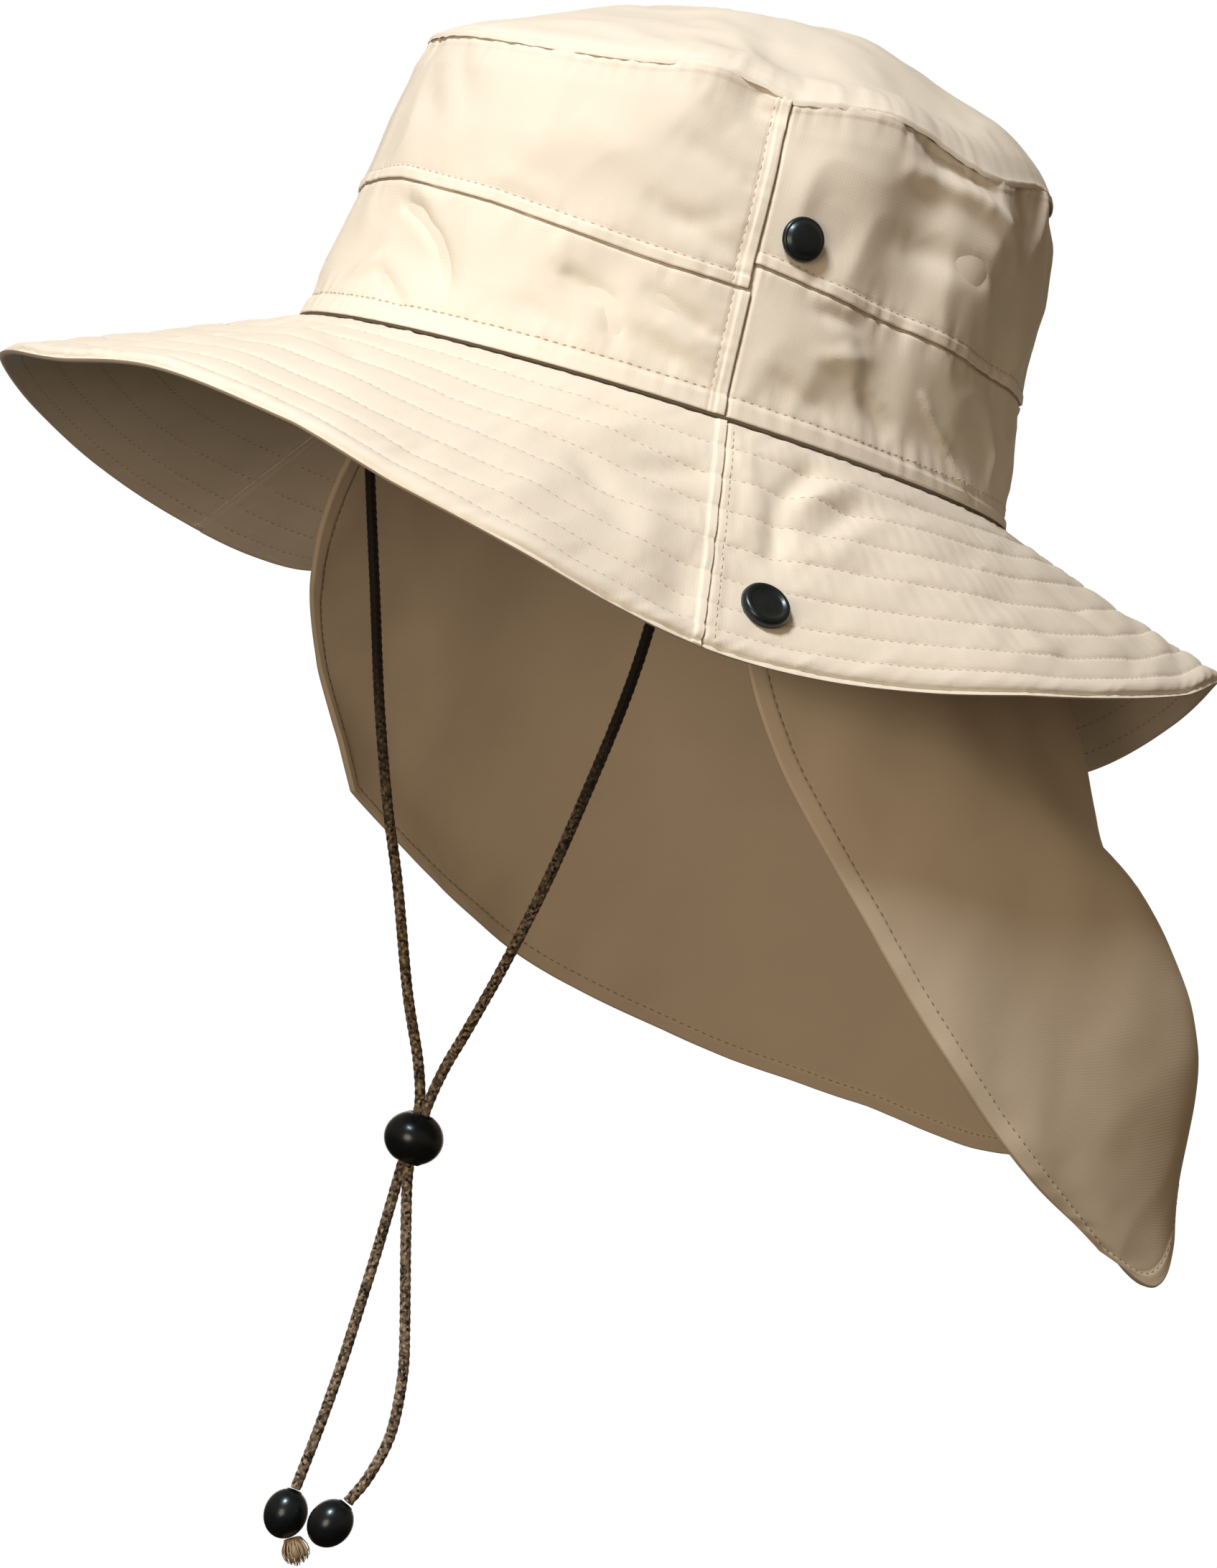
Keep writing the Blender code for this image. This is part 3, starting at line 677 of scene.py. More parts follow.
def cordFray(centre, way, f=frayedEnd, s=beadSizes):
    lean = Vector(f["lean"]).normalized()
    along = abs(lean.dot(way)) / (s["endHeight"] / 2)
    across = math.sqrt(1 - lean.dot(way) ** 2) / (s["endDiameter"] / 2)
    start = centre + lean * (1 / math.hypot(along, across) + s["gap"])
    sideA = lean.orthogonal().normalized()
    sideB = lean.cross(sideA)
    verts = []
    faces = []
    for k in range(f["strands"]):
        a = k * f["spiral"]
        r = math.sqrt((k + 0.5) / f["strands"])
        out = (sideA * math.cos(a) + sideB * math.sin(a)) * r
        base = start + out * f["root"]
        tip = out * f["spread"]
        curl = (sideA * dice.uniform(-1, 1) + sideB * dice.uniform(-1, 1)) * f["curl"]
        reach = f["length"] * dice.uniform(0.78, 1.0) * (1 - 0.28 * r * r)
        first = len(verts)
        steps = 7
        for i in range(steps + 1):
            t = i / steps
            p = base + lean * reach * t + tip * math.sin(2.2 * t) + curl * math.sin(2.6 * t)
            radius = f["thickness"] / 2 * (1.1 - 0.5 * t)
            for c in range(5):
                b = 2 * math.pi * c / 5
                verts.append(p + (sideA * math.cos(b) + sideB * math.sin(b)) * radius)
        tubeFaces(faces, first, steps + 1, 5)
    look = threadMaterial("frayedBraid", (0.62, 0.48, 0.33))
    return tubePiece("cordFray", verts, faces, look, "cord_braid", "cord_end_knot")


def makeChinCord():
    leftPath = cordPath(leftCordRoute)[0]
    rightPath = cordPath(rightCordRoute)[0]
    slide = slideBead()
    leftBead = endBead("endBeadLeft", "end_bead_left", leftPath)[0]
    rightBead, centre, way = endBead("endBeadRight", "end_bead_right", rightPath)
    fray = cordFray(centre, way)
    look = cordMaterial("cordBraid")
    braidedCord("chinCordLeft", "chin_cord_left", leftCordRoute, look)
    braidedCord("chinCordRight", "chin_cord_right", rightCordRoute, look)


makeChinCord()
print("chin cord, beads and frayed end made")


# Crown
crownSize = {
    "headLength": 0.202,
    "headWidth": 0.171,
    "height": 0.082,
    "taper": 0.0124,
    "bandHeight": 0.036,
    "domeRise": 0.028,
    "domeTilt": 0.007,
    "foldDepth": 0.006,
    "sideSeam": 70.5,          # degrees round from the front
    "spans": (141.0, 219.5),   # degrees of the front and of the back half
    "arc": 1.64,               # millimetres round the wall for one degree
    "panelArc": 1.62,          # and for a panel's columns and the cloth's threads
    "seamLean": 2.4,
    "wall": 0.0016,
    "softFolds": 0.00085,      # height of the broad folds
    "creases": 0.00048,        # height of the small sharp ones
    "puckers": 0.00036,        # gathers along the stitching
    "welt": 0.00048,           # how far the folded seams stand proud
    "stitchDip": 0.0002,
    "sideTuck": 0.00105,       # the back panels lie under the front ones by this
    "bandTuck": 0.0011,        # and the lower panels under the upper ones
    "edgeRound": 0.00035,
    "rimSpread": 0.00055,
    "rimDrop": 0.0017,
}

# share of height, share of taper
wallProfile = ((0.00, 0.00), (0.12, 0.19), (0.23, 0.28), (0.43, 0.44), (0.70, 0.60), (0.90, 0.81), (1.00, 1.00))

# degrees from the front, share of bandHeight, share of height
frontSeams = ((0, 1.07, 0.950), (25, 1.01, 0.950), (41, 0.95, 0.975), (56, 0.91, 1.020), (71, 0.91, 0.985))
backSeams = ((68, 1.10, 0.985), (87, 1.04, 1.050), (110, 1.00, 1.000), (130, 0.97, 1.055), (155, 0.95, 1.040),
             (180, 0.94, 1.030))

# dents: degrees, share of height, half width, half height, lean, share of foldDepth
wallDents = (
    (-2, 0.30, 6, 0.14, 0.5, 0.35), (14, 0.24, 8, 0.10, -0.6, 0.30), (44, 0.26, 7, 0.12, 0.4, 0.30),
    (63, 0.93, 6, 0.10, -0.5, 0.45), (30, 0.72, 16, 0.20, 0.2, -0.20), (96, 0.66, 7, 0.34, 0.3, 0.55),
    (111, 0.72, 8, 0.26, 0.2, -0.45), (124, 0.55, 8, 0.30, 0.3, 0.40), (150, 0.80, 8, 0.18, 0.0, -0.20),
    (100, 0.16, 10, 0.12, -0.3, 0.30), (170, 0.35, 12, 0.20, 0.3, 0.35),
    (-100, 0.62, 9, 0.34, -0.3, 0.55), (-128, 0.55, 10, 0.30, -0.2, 0.55),
    (-45, 0.60, 9, 0.30, 0.2, 0.35), (-70, 0.20, 9, 0.14, 0.2, 0.30), (-155, 0.62, 10, 0.30, 0.2, 0.45),
)

# dents in the top: degrees, share of the way out, size, share of foldDepth
topDents = (
    (66, 0.82, 0.14, 0.50),
    (96, 0.86, 0.14, 0.55),
    (20, 0.55, 0.22, 0.25),
    (128, 0.62, 0.20, 0.40),
    (-75, 0.78, 0.18, 0.50),
    (180, 0.70, 0.22, 0.30),
    (-130, 0.60, 0.18, 0.35),
)

# creases in millimetres: round from the front, height; to the same; half width, height
wallCreases = (
    (150, 75, 176, 75, 3.0, 1.9), (176, 75, 190, 71, 3.0, 2.2), (190, 71, 202, 64, 2.6, 1.3),
    (144, 88, 160, 82, 3.4, -1.6), (160, 82, 183, 79, 3.2, -2.2), (219, 87, 212, 70, 2.6, 2.0),
    (198, 86, 205, 74, 2.8, -1.7), (152, 57, 178, 58, 4.4, -1.7), (178, 58, 192, 59, 3.8, -1.3),
    (131, 33, 144, 33, 2.2, -1.2), (135, 22, 150, 26, 2.4, 1.1), (140, 29, 150, 18, 3.4, 1.3),
    (150, 19, 163, 8, 3.2, -1.3), (152, 20, 159, 15, 1.8, 0.9), (126, 14, 140, 9, 2.2, -0.8),
    (170, 22, 183, 12, 1.3, 1.2), (183, 12, 194, 3, 1.3, 1.2), (211, 17, 209, 8, 1.2, 1.1),
    (4, 32, 14, 30, 2.0, -1.4), (14, 30, 25, 24, 2.2, -1.8), (25, 24, 36, 12, 2.4, -1.4),
    (10, 36, 22, 33, 2.4, 1.1), (6, 14, 25, 5, 2.2, -1.2), (-6, 12, 6, 18, 2.4, 1.0),
    (64, 24, 80, 20, 2.6, -1.5), (80, 20, 84, 11, 2.6, -1.2), (90, 25, 107, 19, 2.7, -1.8),
    (92, 19, 105, 13, 2.6, 0.9), (86, 15, 103, 9, 2.8, -0.8), (84, 46, 108, 40, 3.2, -1.4),
    (38, 44, 58, 41, 3.0, 0.6), (62, 33, 66, 22, 3.0, 0.9), (56, 14, 72, 10, 2.6, -0.7),
    (2, 73, 16, 62, 4.0, -0.7), (-8, 61, 10, 55, 4.2, -0.6), (88, 77, 100, 68, 3.4, -0.8),
    (86, 64, 104, 58, 3.6, -0.9), (60, 60, 88, 50, 5.0, 0.8), (104, 48, 92, 44, 3.0, -0.8),
    (-60, 20, -40, 34, 3.0, -1.3), (-105, 74, -120, 50, 3.6, 1.9), (-96, 70, -104, 54, 3.0, -1.4),
    (-160, 60, -190, 76, 3.0, -1.9), (-150, 72, -178, 84, 3.0, 1.5), (-210, 30, -235, 44, 3.2, 1.6),
    (-228, 24, -240, 34, 2.4, -1.2), (-250, 70, -262, 50, 3.2, -1.7), (262, 66, 280, 52, 3.2, 1.7),
    (240, 30, 262, 22, 2.8, -1.4), (246, 12, 268, 9, 2.0, 0.9), (286, 24, 300, 10, 2.6, 1.4),
)


def oval(angle, inset, c=crownSize):
    a = math.radians(angle)
    return Vector(((c["headWidth"] / 2 - inset) * math.sin(a), -(c["headLength"] / 2 - inset) * math.cos(a), 0))


def outward(angle, c=crownSize):
    a = math.radians(angle)
    return Vector((c["headLength"] * math.sin(a), -c["headWidth"] * math.cos(a), 0)).normalized()


def seamHeight(angle, column, back, c=crownSize):
    size = c["bandHeight"] if column == 1 else c["height"]
    return size * tableValue(backSeams if back else frontSeams, abs(turnBetween(angle, 0)), column)


def topSeam(angle, c=crownSize):
    return seamHeight(angle, 2, abs(turnBetween(angle, 0)) > c["sideSeam"] - c["seamLean"])


def wallPoint(angle, z, inset=0.0, c=crownSize):
    share = min(max(z / topSeam(angle), 0.0), 1.0)
    depth = 0.0
    for centre, level, halfWidth, halfHeight, lean, deep in wallDents:
        up = (share - level) / halfHeight
        across = turnBetween(angle, centre) / halfWidth - lean * up
        if up * up + across * across < 9:
            depth += deep * math.exp(-across * across - up * up)
    inset += c["taper"] * tableValue(wallProfile, share, 1) + c["foldDepth"] * depth * fade(share / 0.2)
    point = oval(angle, inset)
    point.z = z
    return point


def sideSeam(share, c=crownSize):
    return c["sideSeam"] - c["seamLean"] * share


def wallRelief(angle, z, band, back, fromSide, c=crownSize):
    # how far the cloth stands off the plain wall here, in metres
    arc = angle * c["arc"]
    up = z / mm
    p = wallPoint(angle, z) / mm
    calm = fade(min(abs(fromSide) - 1, up - 4) / 8)
    broad = soft(p.x, p.y, p.z, 26, 3.1) + 0.5 * soft(p.x, p.y, p.z * 0.8, 12, 9.7)
    off = c["softFolds"] * broad * 1.6 * calm
    off += c["creases"] * ripple(p.x, p.y, p.z * 0.75, 19, 5.3) * calm * (0.8 if back else 0.45)
    off += creaseDepth(wallCreases, turnBetween(angle, 0) * c["arc"], up) * mm
    gather = grain(arc / 2.6, up / 14, 4.0)
    nearSeam = bump(up - 6, 5) + bump(abs(up - band / mm), 5) + bump(up - topSeam(angle) / mm, 7)
    off += c["puckers"] * gather * nearSeam * 1.5
    along = grain(up / 2.8, arc / 16, 8.0)
    return off + c["puckers"] * along * bump(fromSide - 4, 4) * 1.6


def wallSeams(angle, z, band, back, upper, fromSide, c=crownSize):
    # what the folded seams add to the relief, and how worn the cloth is on them
    up = z / mm
    if back:
        off = -c["sideTuck"] * fade((fromSide + 1.3) / 1.5)
        worn = 0.0
    else:
        worn = fade((2.9 - fromSide) / 0.7)
        off = c["welt"] * worn - 1.1 * c["stitchDip"] * bump(fromSide - 4.3, 0.35)
    if upper:
        ridge = fade((2.9 - (z - band) / mm) / 0.6)
        piping = fade((2.5 - (topSeam(angle) - z) / mm) / 0.6)
        narrow = fade((170 - abs(turnBetween(angle, 0))) / 60) * 0.5 + 0.5
        off += c["welt"] * (0.7 * ridge * narrow + 0.5 * piping)
        off -= c["stitchDip"] * bump((z - band) / mm - 3.3, 0.35)
        return off, worn + max(ridge, piping)
    width = 5.3 if not back else 5.3 - 2.2 * fade((abs(turnBetween(angle, 0)) - 75) / 70)
    strip = fade((width - up) / 0.7)
    off += c["welt"] * 0.9 * strip - c["stitchDip"] * bump(up - width - 0.5, 0.4)
    return off - c["bandTuck"] * fade((z - band) / mm + 1.2), worn + strip


def wallPanel(name, node, back, upper, c=crownSize):
    # columns are closer near the side seams, rows near the level seams, all in millimetres
    degree = 1 / c["panelArc"]
    length = c["spans"][back] / degree
    near = [0, 0.25, 0.6, 1.0, 1.5, 2.0, 2.35, 2.6, 2.9, 3.3, 3.8, 4.1, 4.3, 4.5, 4.9, 5.6, 6.4, 7.4]
    steps = panelSteps(near, length, 1.25)
    lowRows = [0, 0.25, 0.6, 1.1, 1.7, 2.2, 2.6, 2.9, 3.3, 3.9, 4.5, 5.0, 5.3, 5.6, 6.0, 6.8]
    highRows = [6.0, 5.0, 4.2, 3.4, 2.8, 2.3, 1.9, 1.4, 0.8, 0.3, 0]
    middle = 32 if upper else 26
    rows = len(lowRows) + middle + len(highRows)
    plain = np.zeros((rows, len(steps), 3))
    uvs = np.zeros((rows, len(steps), 2))
    wearAndPaintedShade = np.zeros((rows, len(steps)))
    relief = np.zeros((rows, len(steps)))
    for j, step in enumerate(steps):
        u = step / length
        for i in range(rows):
            seam = sideSeam((0.7 if upper else 0.2) + 0.3 * i / (rows - 1))
            if back:
                start = seam - 1.7 * degree
                angle = start + u * (360 - 2 * start)
            else:
                angle = (2 * u - 1) * seam
            if i == 0:
                band = seamHeight(angle, 1, back)
                low = band - 0.0002 if upper else 0.0004
                high = topSeam(angle) + 0.0002 if upper else band + 0.0018
            k = i - len(lowRows)
            if k < 0:
                z = low + lowRows[i] * mm
            elif k < middle:
                gap = high - low - (lowRows[-1] + highRows[0]) * mm
                z = low + lowRows[-1] * mm + (k + 1) / (middle + 1) * gap
            else:
                z = high - highRows[k - middle] * mm
            fromSide = (seam - abs(turnBetween(angle, 0))) / degree
            seamOff, worn = wallSeams(angle, z, band, back, upper, fromSide)
            onEdge = i in (0, rows - 1) or j in (0, len(steps) - 1)
            plain[i, j] = wallPoint(angle, z)
            relief[i, j] = wallRelief(angle, z, band, back, fromSide) + seamOff - c["edgeRound"] * onEdge
            # a panel's edges, down in the seams, take painted shade below zero; its folded seams take wear
            # above zero
            wearAndPaintedShade[i, j] = -0.9 if onEdge and not (i == rows - 1 and upper) else min(worn, 1.0) * 0.8
            uvs[i, j] = (angle * c["panelArc"] * mm, z)
    normals = gridNormals(plain, 1)
    centre = (rows // 2, len(steps) // 2)
    if np.sum(normals[centre] * plain[centre]) < 0:
        normals = -normals
    inner = plain - normals * (c["wall"] - (0.0001 if back else 0) - (0.00008 if upper else 0))
    face = plain + normals * relief[..., None]
    clothSheet(name, node, face, inner, uvs, wearAndPaintedShade, crownLook)
    return {"face": face, "normals": normals, "steps": steps, "rows": rows}


def panelLine(panel, rowsAt, columnsAt):
    # spots and normals along a line through a panel's grid
    spots = []
    normals = []
    for i, j in zip(rowsAt, columnsAt):
        spots.append(gridSpot(panel["face"], i, j))
        normals.append(gridSpot(panel["normals"], i, j).normalized())
    return spots, normals


def crownStitches(panels):
    verts = []
    faces = []
    for key in ("frontLower", "frontUpper", "backLower", "backUpper"):
        panel = panels[key]
        columns = len(panel["steps"])
        rows = panel["rows"]
        back = key.startswith("back")
        upper = key.endswith("Upper")
        row = 8.0 if upper else 12.2 if back else 13.3
        first = 12.0 if not back else 6.0
        across = [first + k * 0.5 for k in range(int((columns - 1 - 2 * first) * 2) + 1)]
        stitchRow(verts, faces, *panelLine(panel, [row] * len(across), across))
        if not back:
            start = 13.0 if not upper else 2.0
            upwards = [start + k * 0.5 for k in range(int((rows - 3 - start) * 2) + 1)]
            for column in (12.0, columns - 13.0):
                stitchRow(verts, faces, *panelLine(panel, upwards, [column] * len(upwards)))
    tubePiece("crownStitches", verts, faces, stitchLook, "crown_cloth")


def topHeight(angle, out, c=crownSize):
    spread = 26 * (1 - out)     # the seam's ups and downs even out towards the middle
    seam = sum(topSeam(angle + spread * k / 4) for k in range(-4, 5)) / 9 + 0.0004
    rise = (c["height"] + c["domeRise"] - seam) * (1 - out ** 2.4)
    tilt = -1.6 * c["domeTilt"] * math.cos(math.radians(angle)) * out * (1 - out ** 3)
    depth = 0.0
    for centre, level, size, deep in topDents:
        along = turnBetween(angle, centre) / 57.3 * out / (2 * size)
        across = (out - level) / size
        depth += deep * math.exp(-along * along - across * across)
    return seam + rise + tilt - c["foldDepth"] * depth * fade(4 * (1 - out))


def crownTop(c=crownSize):
    spokes = 420
    rings = 46
    rimRings = 5
    size = (rings + rimRings, spokes)
    outer = np.zeros(size + (3,))
    inner = np.zeros(size + (3,))
    uvs = np.zeros(size + (2,))
    wearAndPaintedShade = np.zeros(size)
    thick = 1.2 * c["wall"]
    for j in range(spokes):
        angle = 360 * j / spokes
        edge = wallPoint(angle, topSeam(angle))
        way = outward(angle)
        for i in range(size[0]):
            out = math.sin(math.pi / 2 * max(min(i, rings), 0.02) / rings)
            point = Vector((edge.x * out, edge.y * out, topHeight(angle, out)))
            p = point / mm
            fromEdge = (1 - out) * 78
            calm = fade((fromEdge - 1) / 9)
            broad = soft(p.x, p.y, p.z, 24, 1.7) + 0.4 * soft(p.x, p.y, p.z, 11, 6.1)
            off = c["softFolds"] * 1.3 * broad * calm
            off += c["creases"] * 0.8 * ripple(p.x, p.y, p.z, 21, 2.2) * calm
            gather = grain(edge.x / mm / 3.2, edge.y / mm / 3.2, fromEdge / 13)
            sides = bump(abs(turnBetween(angle, 0)) - 72, 16)
            off += (0.0004 + 0.0005 * sides) * gather * bump(fromEdge - 3, 6)
            off -= 0.0012 * fade((6.0 - fromEdge) / 6.0) ** 2 + 0.00014 * bump(fromEdge - 3.4, 0.5)
            inner[i, j] = point
            outer[i, j] = point
            outer[i, j, 2] += thick + off
            if i > rings:    # the rim rolls over the seam
                roll = (i - rings) / (rimRings - 1) * math.pi / 2
                outer[i, j] += way * c["rimSpread"] * math.sin(roll)
                outer[i, j, 2] -= c["rimDrop"] * (1 - math.cos(roll))
            wearAndPaintedShade[i, j] = fade((3.2 - fromEdge) / 1.0)
            uvs[i, j] = (point.x, point.y)
    verts = [tuple(v) for v in outer.reshape(-1, 3)] + [tuple(v) for v in inner.reshape(-1, 3)]
    total = size[0] * spokes
    last = total - spokes
    faces = []
    for j in range(spokes):
        k = (j + 1) % spokes
        for ring in range(0, last, spokes):
            a, b = ring + j, ring + k
            faces.append((a, a + spokes, b + spokes, b))
            faces.append((total + a, total + b, total + b + spokes, total + a + spokes))
        faces.append((last + j, total + last + j, total + last + k, last + k))
    # the first ring is tiny, so one face closes it on each side
    faces.append(tuple(range(spokes)))
    faces.append(tuple(total + j for j in range(spokes - 1, -1, -1)))
    data = clothMesh("crownTop", verts, faces, uvs, wearAndPaintedShade * 0.7)
    tidyFaces(data, 70, weld=0.000002)
    linkPiece("crownTop", data, crownLook, "crown_top")


def makeCrown():
    panels = {
        "frontLower": wallPanel("frontLowerPanel", "crown_front_lower", False, False),
        "frontUpper": wallPanel("frontUpperPanel", "crown_front_upper", False, True),
        "backLower": wallPanel("backLowerPanel", "crown_back_lower", True, False),
        "backUpper": wallPanel("backUpperPanel", "crown_back_upper", True, True),
    }
    crownStitches(panels)
    crownTop()


makeCrown()
print("crown panels, top and stitching made")


# Brim
brimSize = {
    "width": 0.078,
    "drop": 0.057,
    "wall": 0.0024,
    "wave": 0.0022,
    "stitchRows": (0.115, 0.25, 0.39, 0.54, 0.69, 0.82, 0.925),
    "groove": 0.00030,         # the stitching pulls the cloth down by this
    "puff": 0.00032,           # and it stands up by this between the rows
    "puckers": 0.00040,
    "seamRidge": 0.00048,      # the front half's fold over the side seam
    "seamTuck": 0.00115,       # the back half lies under it by this
    "piping": 0.00022,
    "arc": 2.55,               # millimetres for one degree, halfway out
}

# degrees from the front, share of width, share of drop
brimStations = (
    (0, 1.00, 0.54), (14, 0.99, 0.49), (28, 0.98, 0.57), (37, 0.97, 0.69), (48, 0.96, 0.80),
    (60, 0.95, 0.92), (70, 0.94, 0.97), (81, 0.93, 0.95), (92, 0.92, 0.87), (103, 0.91, 0.75),
    (116, 0.89, 0.63), (130, 0.88, 0.50), (141, 0.87, 0.38), (151, 0.88, 0.37), (160, 0.91, 0.56),
    (170, 0.94, 0.88), (180, 0.95, 1.00), (190, 0.94, 0.92), (201, 0.91, 0.64), (212, 0.88, 0.42),
    (226, 0.87, 0.42), (242, 0.89, 0.60), (258, 0.91, 0.78), (274, 0.93, 0.97), (284, 0.94, 1.00),
    (295, 0.95, 0.94), (307, 0.96, 0.83), (320, 0.97, 0.68), (333, 0.98, 0.56), (346, 0.99, 0.53),
)
# the same stations, carried on past both ends
brimRing = tuple((row[0] - 360,) + row[1:] for row in brimStations[-2:]) + brimStations
brimRing += tuple((row[0] + 360,) + row[1:] for row in brimStations[:2])

# creases in the brim: degrees, millimetres out; to the same; half width, height in millimetres
brimCreases = (
    (84.6, 5, 80.5, 15, 2.0, -1.3), (80.5, 15, 77.5, 24, 1.9, -1.5), (77.5, 24, 76.6, 41, 1.7, -1.4),
    (79.0, 23, 89.4, 9, 2.2, 1.1), (82.7, 29, 91.0, 14, 2.2, -1.1), (83.0, 37, 88.0, 31, 2.4, 0.7),
    (73.0, 8, 74.5, 24, 1.8, 0.7), (69.0, 41, 75.0, 43, 1.6, -0.8), (59.7, 56, 62.2, 38, 2.4, 0.9),
    (51.3, 32, 56.4, 40, 2.4, -1.0), (54.0, 44, 60.0, 50, 2.2, -0.8), (48.8, 48, 46.4, 66, 2.6, 0.8),
    (65.9, 52, 64.7, 68, 2.2, -0.9), (58.0, 12, 50.0, 26, 2.8, 0.8), (66.0, 20, 58.0, 27, 2.2, -1.1),
    (67.0, 31, 60.0, 36, 2.2, -0.9), (14.0, 20, 22.0, 30, 2.6, -0.8), (108.0, 44, 110.0, 60, 2.4, 0.6),
    (122.0, 30, 126.0, 52, 2.8, -0.7),
)


def brimEdge(angle, b=brimSize):
    width = b["width"] * tableValue(brimRing, angle % 360, 1)
    drop = b["drop"] * tableValue(brimRing, angle % 360, 2)
    return width, drop, math.sqrt(width * width - drop * drop)


def brimPoint(angle, out, edge=None, b=brimSize):
    width, drop, reach = edge or brimEdge(angle)
    point = oval(angle, 0) + outward(angle) * reach * out
    point.z = -0.0004 - drop * out + b["wave"] * math.sin(math.radians(9 * angle)) * out * (1 - out)
    return point


def brimRelief(angle, out, width, fromSide, b=brimSize):
    across = out * width / mm
    arc = angle * (crownSize["arc"] + across * 0.0175)
    rows = b["stitchRows"]
    off = 0.0
    nearest = min(abs(out - row) * width / mm for row in rows)
    calm = fade((abs(fromSide) - 1.5) / 6)
    gaps = [0.0] + list(rows) + [1.0]
    for low, high in zip(gaps, gaps[1:]):
        if low <= out <= high:
            off += b["puff"] * math.sin(math.pi * (out - low) / (high - low)) ** 0.8
    off -= b["groove"] * bump(nearest, 0.5)
    between = min(nearest / 3.0, 1.0)
    pull = grain(arc / 3.2, across / 9.0, 7.0)
    fine = grain(arc / 1.7, across / 6.0, 17.0)
    busy = 0.55 + 0.6 * grain(arc / 40, across / 30, 3.0)
    off += b["puckers"] * (pull + 0.5 * fine) * (0.45 + 0.55 * between) * busy * 1.5
    off += 0.0007 * grain(arc / 17, across / 14, 29.0) * calm * fade(out * 6)
    return off + creaseDepth(brimCreases, turnBetween(angle, 0), across) * mm * 1.2


def brimShares(b=brimSize):
    # rows across the brim, closer at each stitch row and at the edge
    rows = b["stitchRows"]
    shares = [0.0, 0.006, 0.014, 0.03, 0.055, 0.08, 0.95, 0.965, 0.977, 0.986, 0.992, 0.9965, 0.999, 1.0]
    shares += [row + beside for row in rows for beside in (-0.013, -0.006, 0, 0.006, 0.013)]
    shares += [low + (high - low) * f for low, high in zip(rows, rows[1:]) for f in (0.26, 0.5, 0.74)]
    return sorted(shares)


def brimHalf(name, node, back, b=brimSize):
    length = crownSize["spans"][back] * b["arc"]
    steps = panelSteps([0, 0.3, 0.7, 1.2, 1.7, 2.1, 2.5, 3.0, 3.6, 4.4, 5.0, 5.4, 5.8, 6.4, 7.4], length, 1.32)
    shares = brimShares()
    half = b["wall"] / 2
    size = (len(shares) + 1, len(steps))
    plain = np.zeros(size + (3,))
    uvs = np.zeros(size + (2,))
    relief = np.zeros(size)
    wearAndPaintedShade = np.zeros(size)
    for j, step in enumerate(steps):
        u = step / length
        for i in range(size[0]):
            out = shares[max(i - 1, 0)]
            seam = sideSeam(out)
            angle = (2 * u - 1) * seam
            if back:
                angle = seam - 0.9 + u * (360 - 2 * (seam - 0.9))
            edge = brimEdge(angle)
            width = edge[0]
            uvs[i, j] = (angle * 0.0024, out * width)
            plain[i, j] = brimPoint(angle, out, edge)
            if i < 2:    # the crevice under the crown, with painted shade in it
                if i == 0:
                    plain[i, j] = oval(angle, 0.0016) - Vector((0, 0, 0.0004))
                relief[i, j] = -0.0016 if i == 0 else -0.0012
                wearAndPaintedShade[i, j] = -0.8
                continue
            fromSide = (seam - abs(turnBetween(angle, 0))) * (crownSize["arc"] + out * 1.25)
            off = brimRelief(angle, out, width, fromSide)
            worn = bump((1 - out) * width / mm, 3.0)
            if back:
                off -= b["seamTuck"] * fade((fromSide + 1.2) / 1.4) + 0.00022 * bump(fromSide + 5.5, 0.4)
            else:
                off += b["seamRidge"] * fade((2.6 - fromSide) / 0.6)
                worn = max(worn, fade((2.6 - fromSide) / 0.6))
            fromEdge = (1 - out) * width
            if fromEdge < half:
                off -= half * edgeRoll(fromEdge, half)
            else:
                off += b["piping"] * bump(fromEdge / mm - 2.6, 1.8)
            relief[i, j] = off
            wearAndPaintedShade[i, j] = min(worn, 1.0) * 0.8
    normals = gridNormals(plain, 1)
    normals *= np.sign(normals[..., 2:3]) + (normals[..., 2:3] == 0)
    over = plain + normals * relief[..., None]
    under = plain - np.array((0, 0, b["wall"] + (0.00012 if back else 0)))
    for i in range(size[0]):
        out = shares[max(i - 1, 0)]
        fromEdge = (1 - out) * b["width"] * 0.93
        groove = 0.00022 * bump(min(abs(out - row) * 73 for row in b["stitchRows"]), 0.5)
        if fromEdge > half:
            under[i] += normals[i] * (0.21 * relief[i][:, None] + groove)
        else:
            under[i] += normals[i] * (half * edgeRoll(fromEdge, half) + groove)
    if back:    # its ends lie close under the front half
        for j, step in enumerate(steps):
            under[:, j, 2] += 0.00045 * fade((3.4 - min(step, length - step)) / 1.6)
    clothSheet(name, node, over, under, uvs, wearAndPaintedShade, brimLook)
    return {"face": over, "under": under, "normals": normals, "steps": steps, "shares": shares, "rows": size[0]}


def brimStitches(front, back, b=brimSize):
    over = ([], [])
    below = ([], [])
    for half in (front, back):
        columns = len(half["steps"])
        first = 11.0 if half is back else 8.0
        across = [first + k * 0.5 for k in range(int((columns - 1 - 2 * first) * 2) + 1)]
        under = {"face": half["under"], "normals": -half["normals"]}
        for share in b["stitchRows"]:
            rows = [half["shares"].index(share) + 1.0] * len(across)
            stitchRow(*over, *panelLine(half, rows, across))
            stitchRow(*below, *panelLine(under, rows, across))
        if half is back:
            out = [4.0 + k * 0.5 for k in range(int((half["rows"] - 8) * 2))]
            for column in (11.0, columns - 12.0):
                stitchRow(*over, *panelLine(half, out, [column] * len(out)))
    tubePiece("brimStitches", *over, stitchLook, "brim_cloth")
    tubePiece("brimUnderStitches", *below, stitchLook, "brim_cloth")


def makeBrim():
    front = brimHalf("brimFront", "brim_front", False)
    back = brimHalf("brimBack", "brim_back", True)
    brimStitches(front, back)


makeBrim()
print("brim and its stitch rows made")


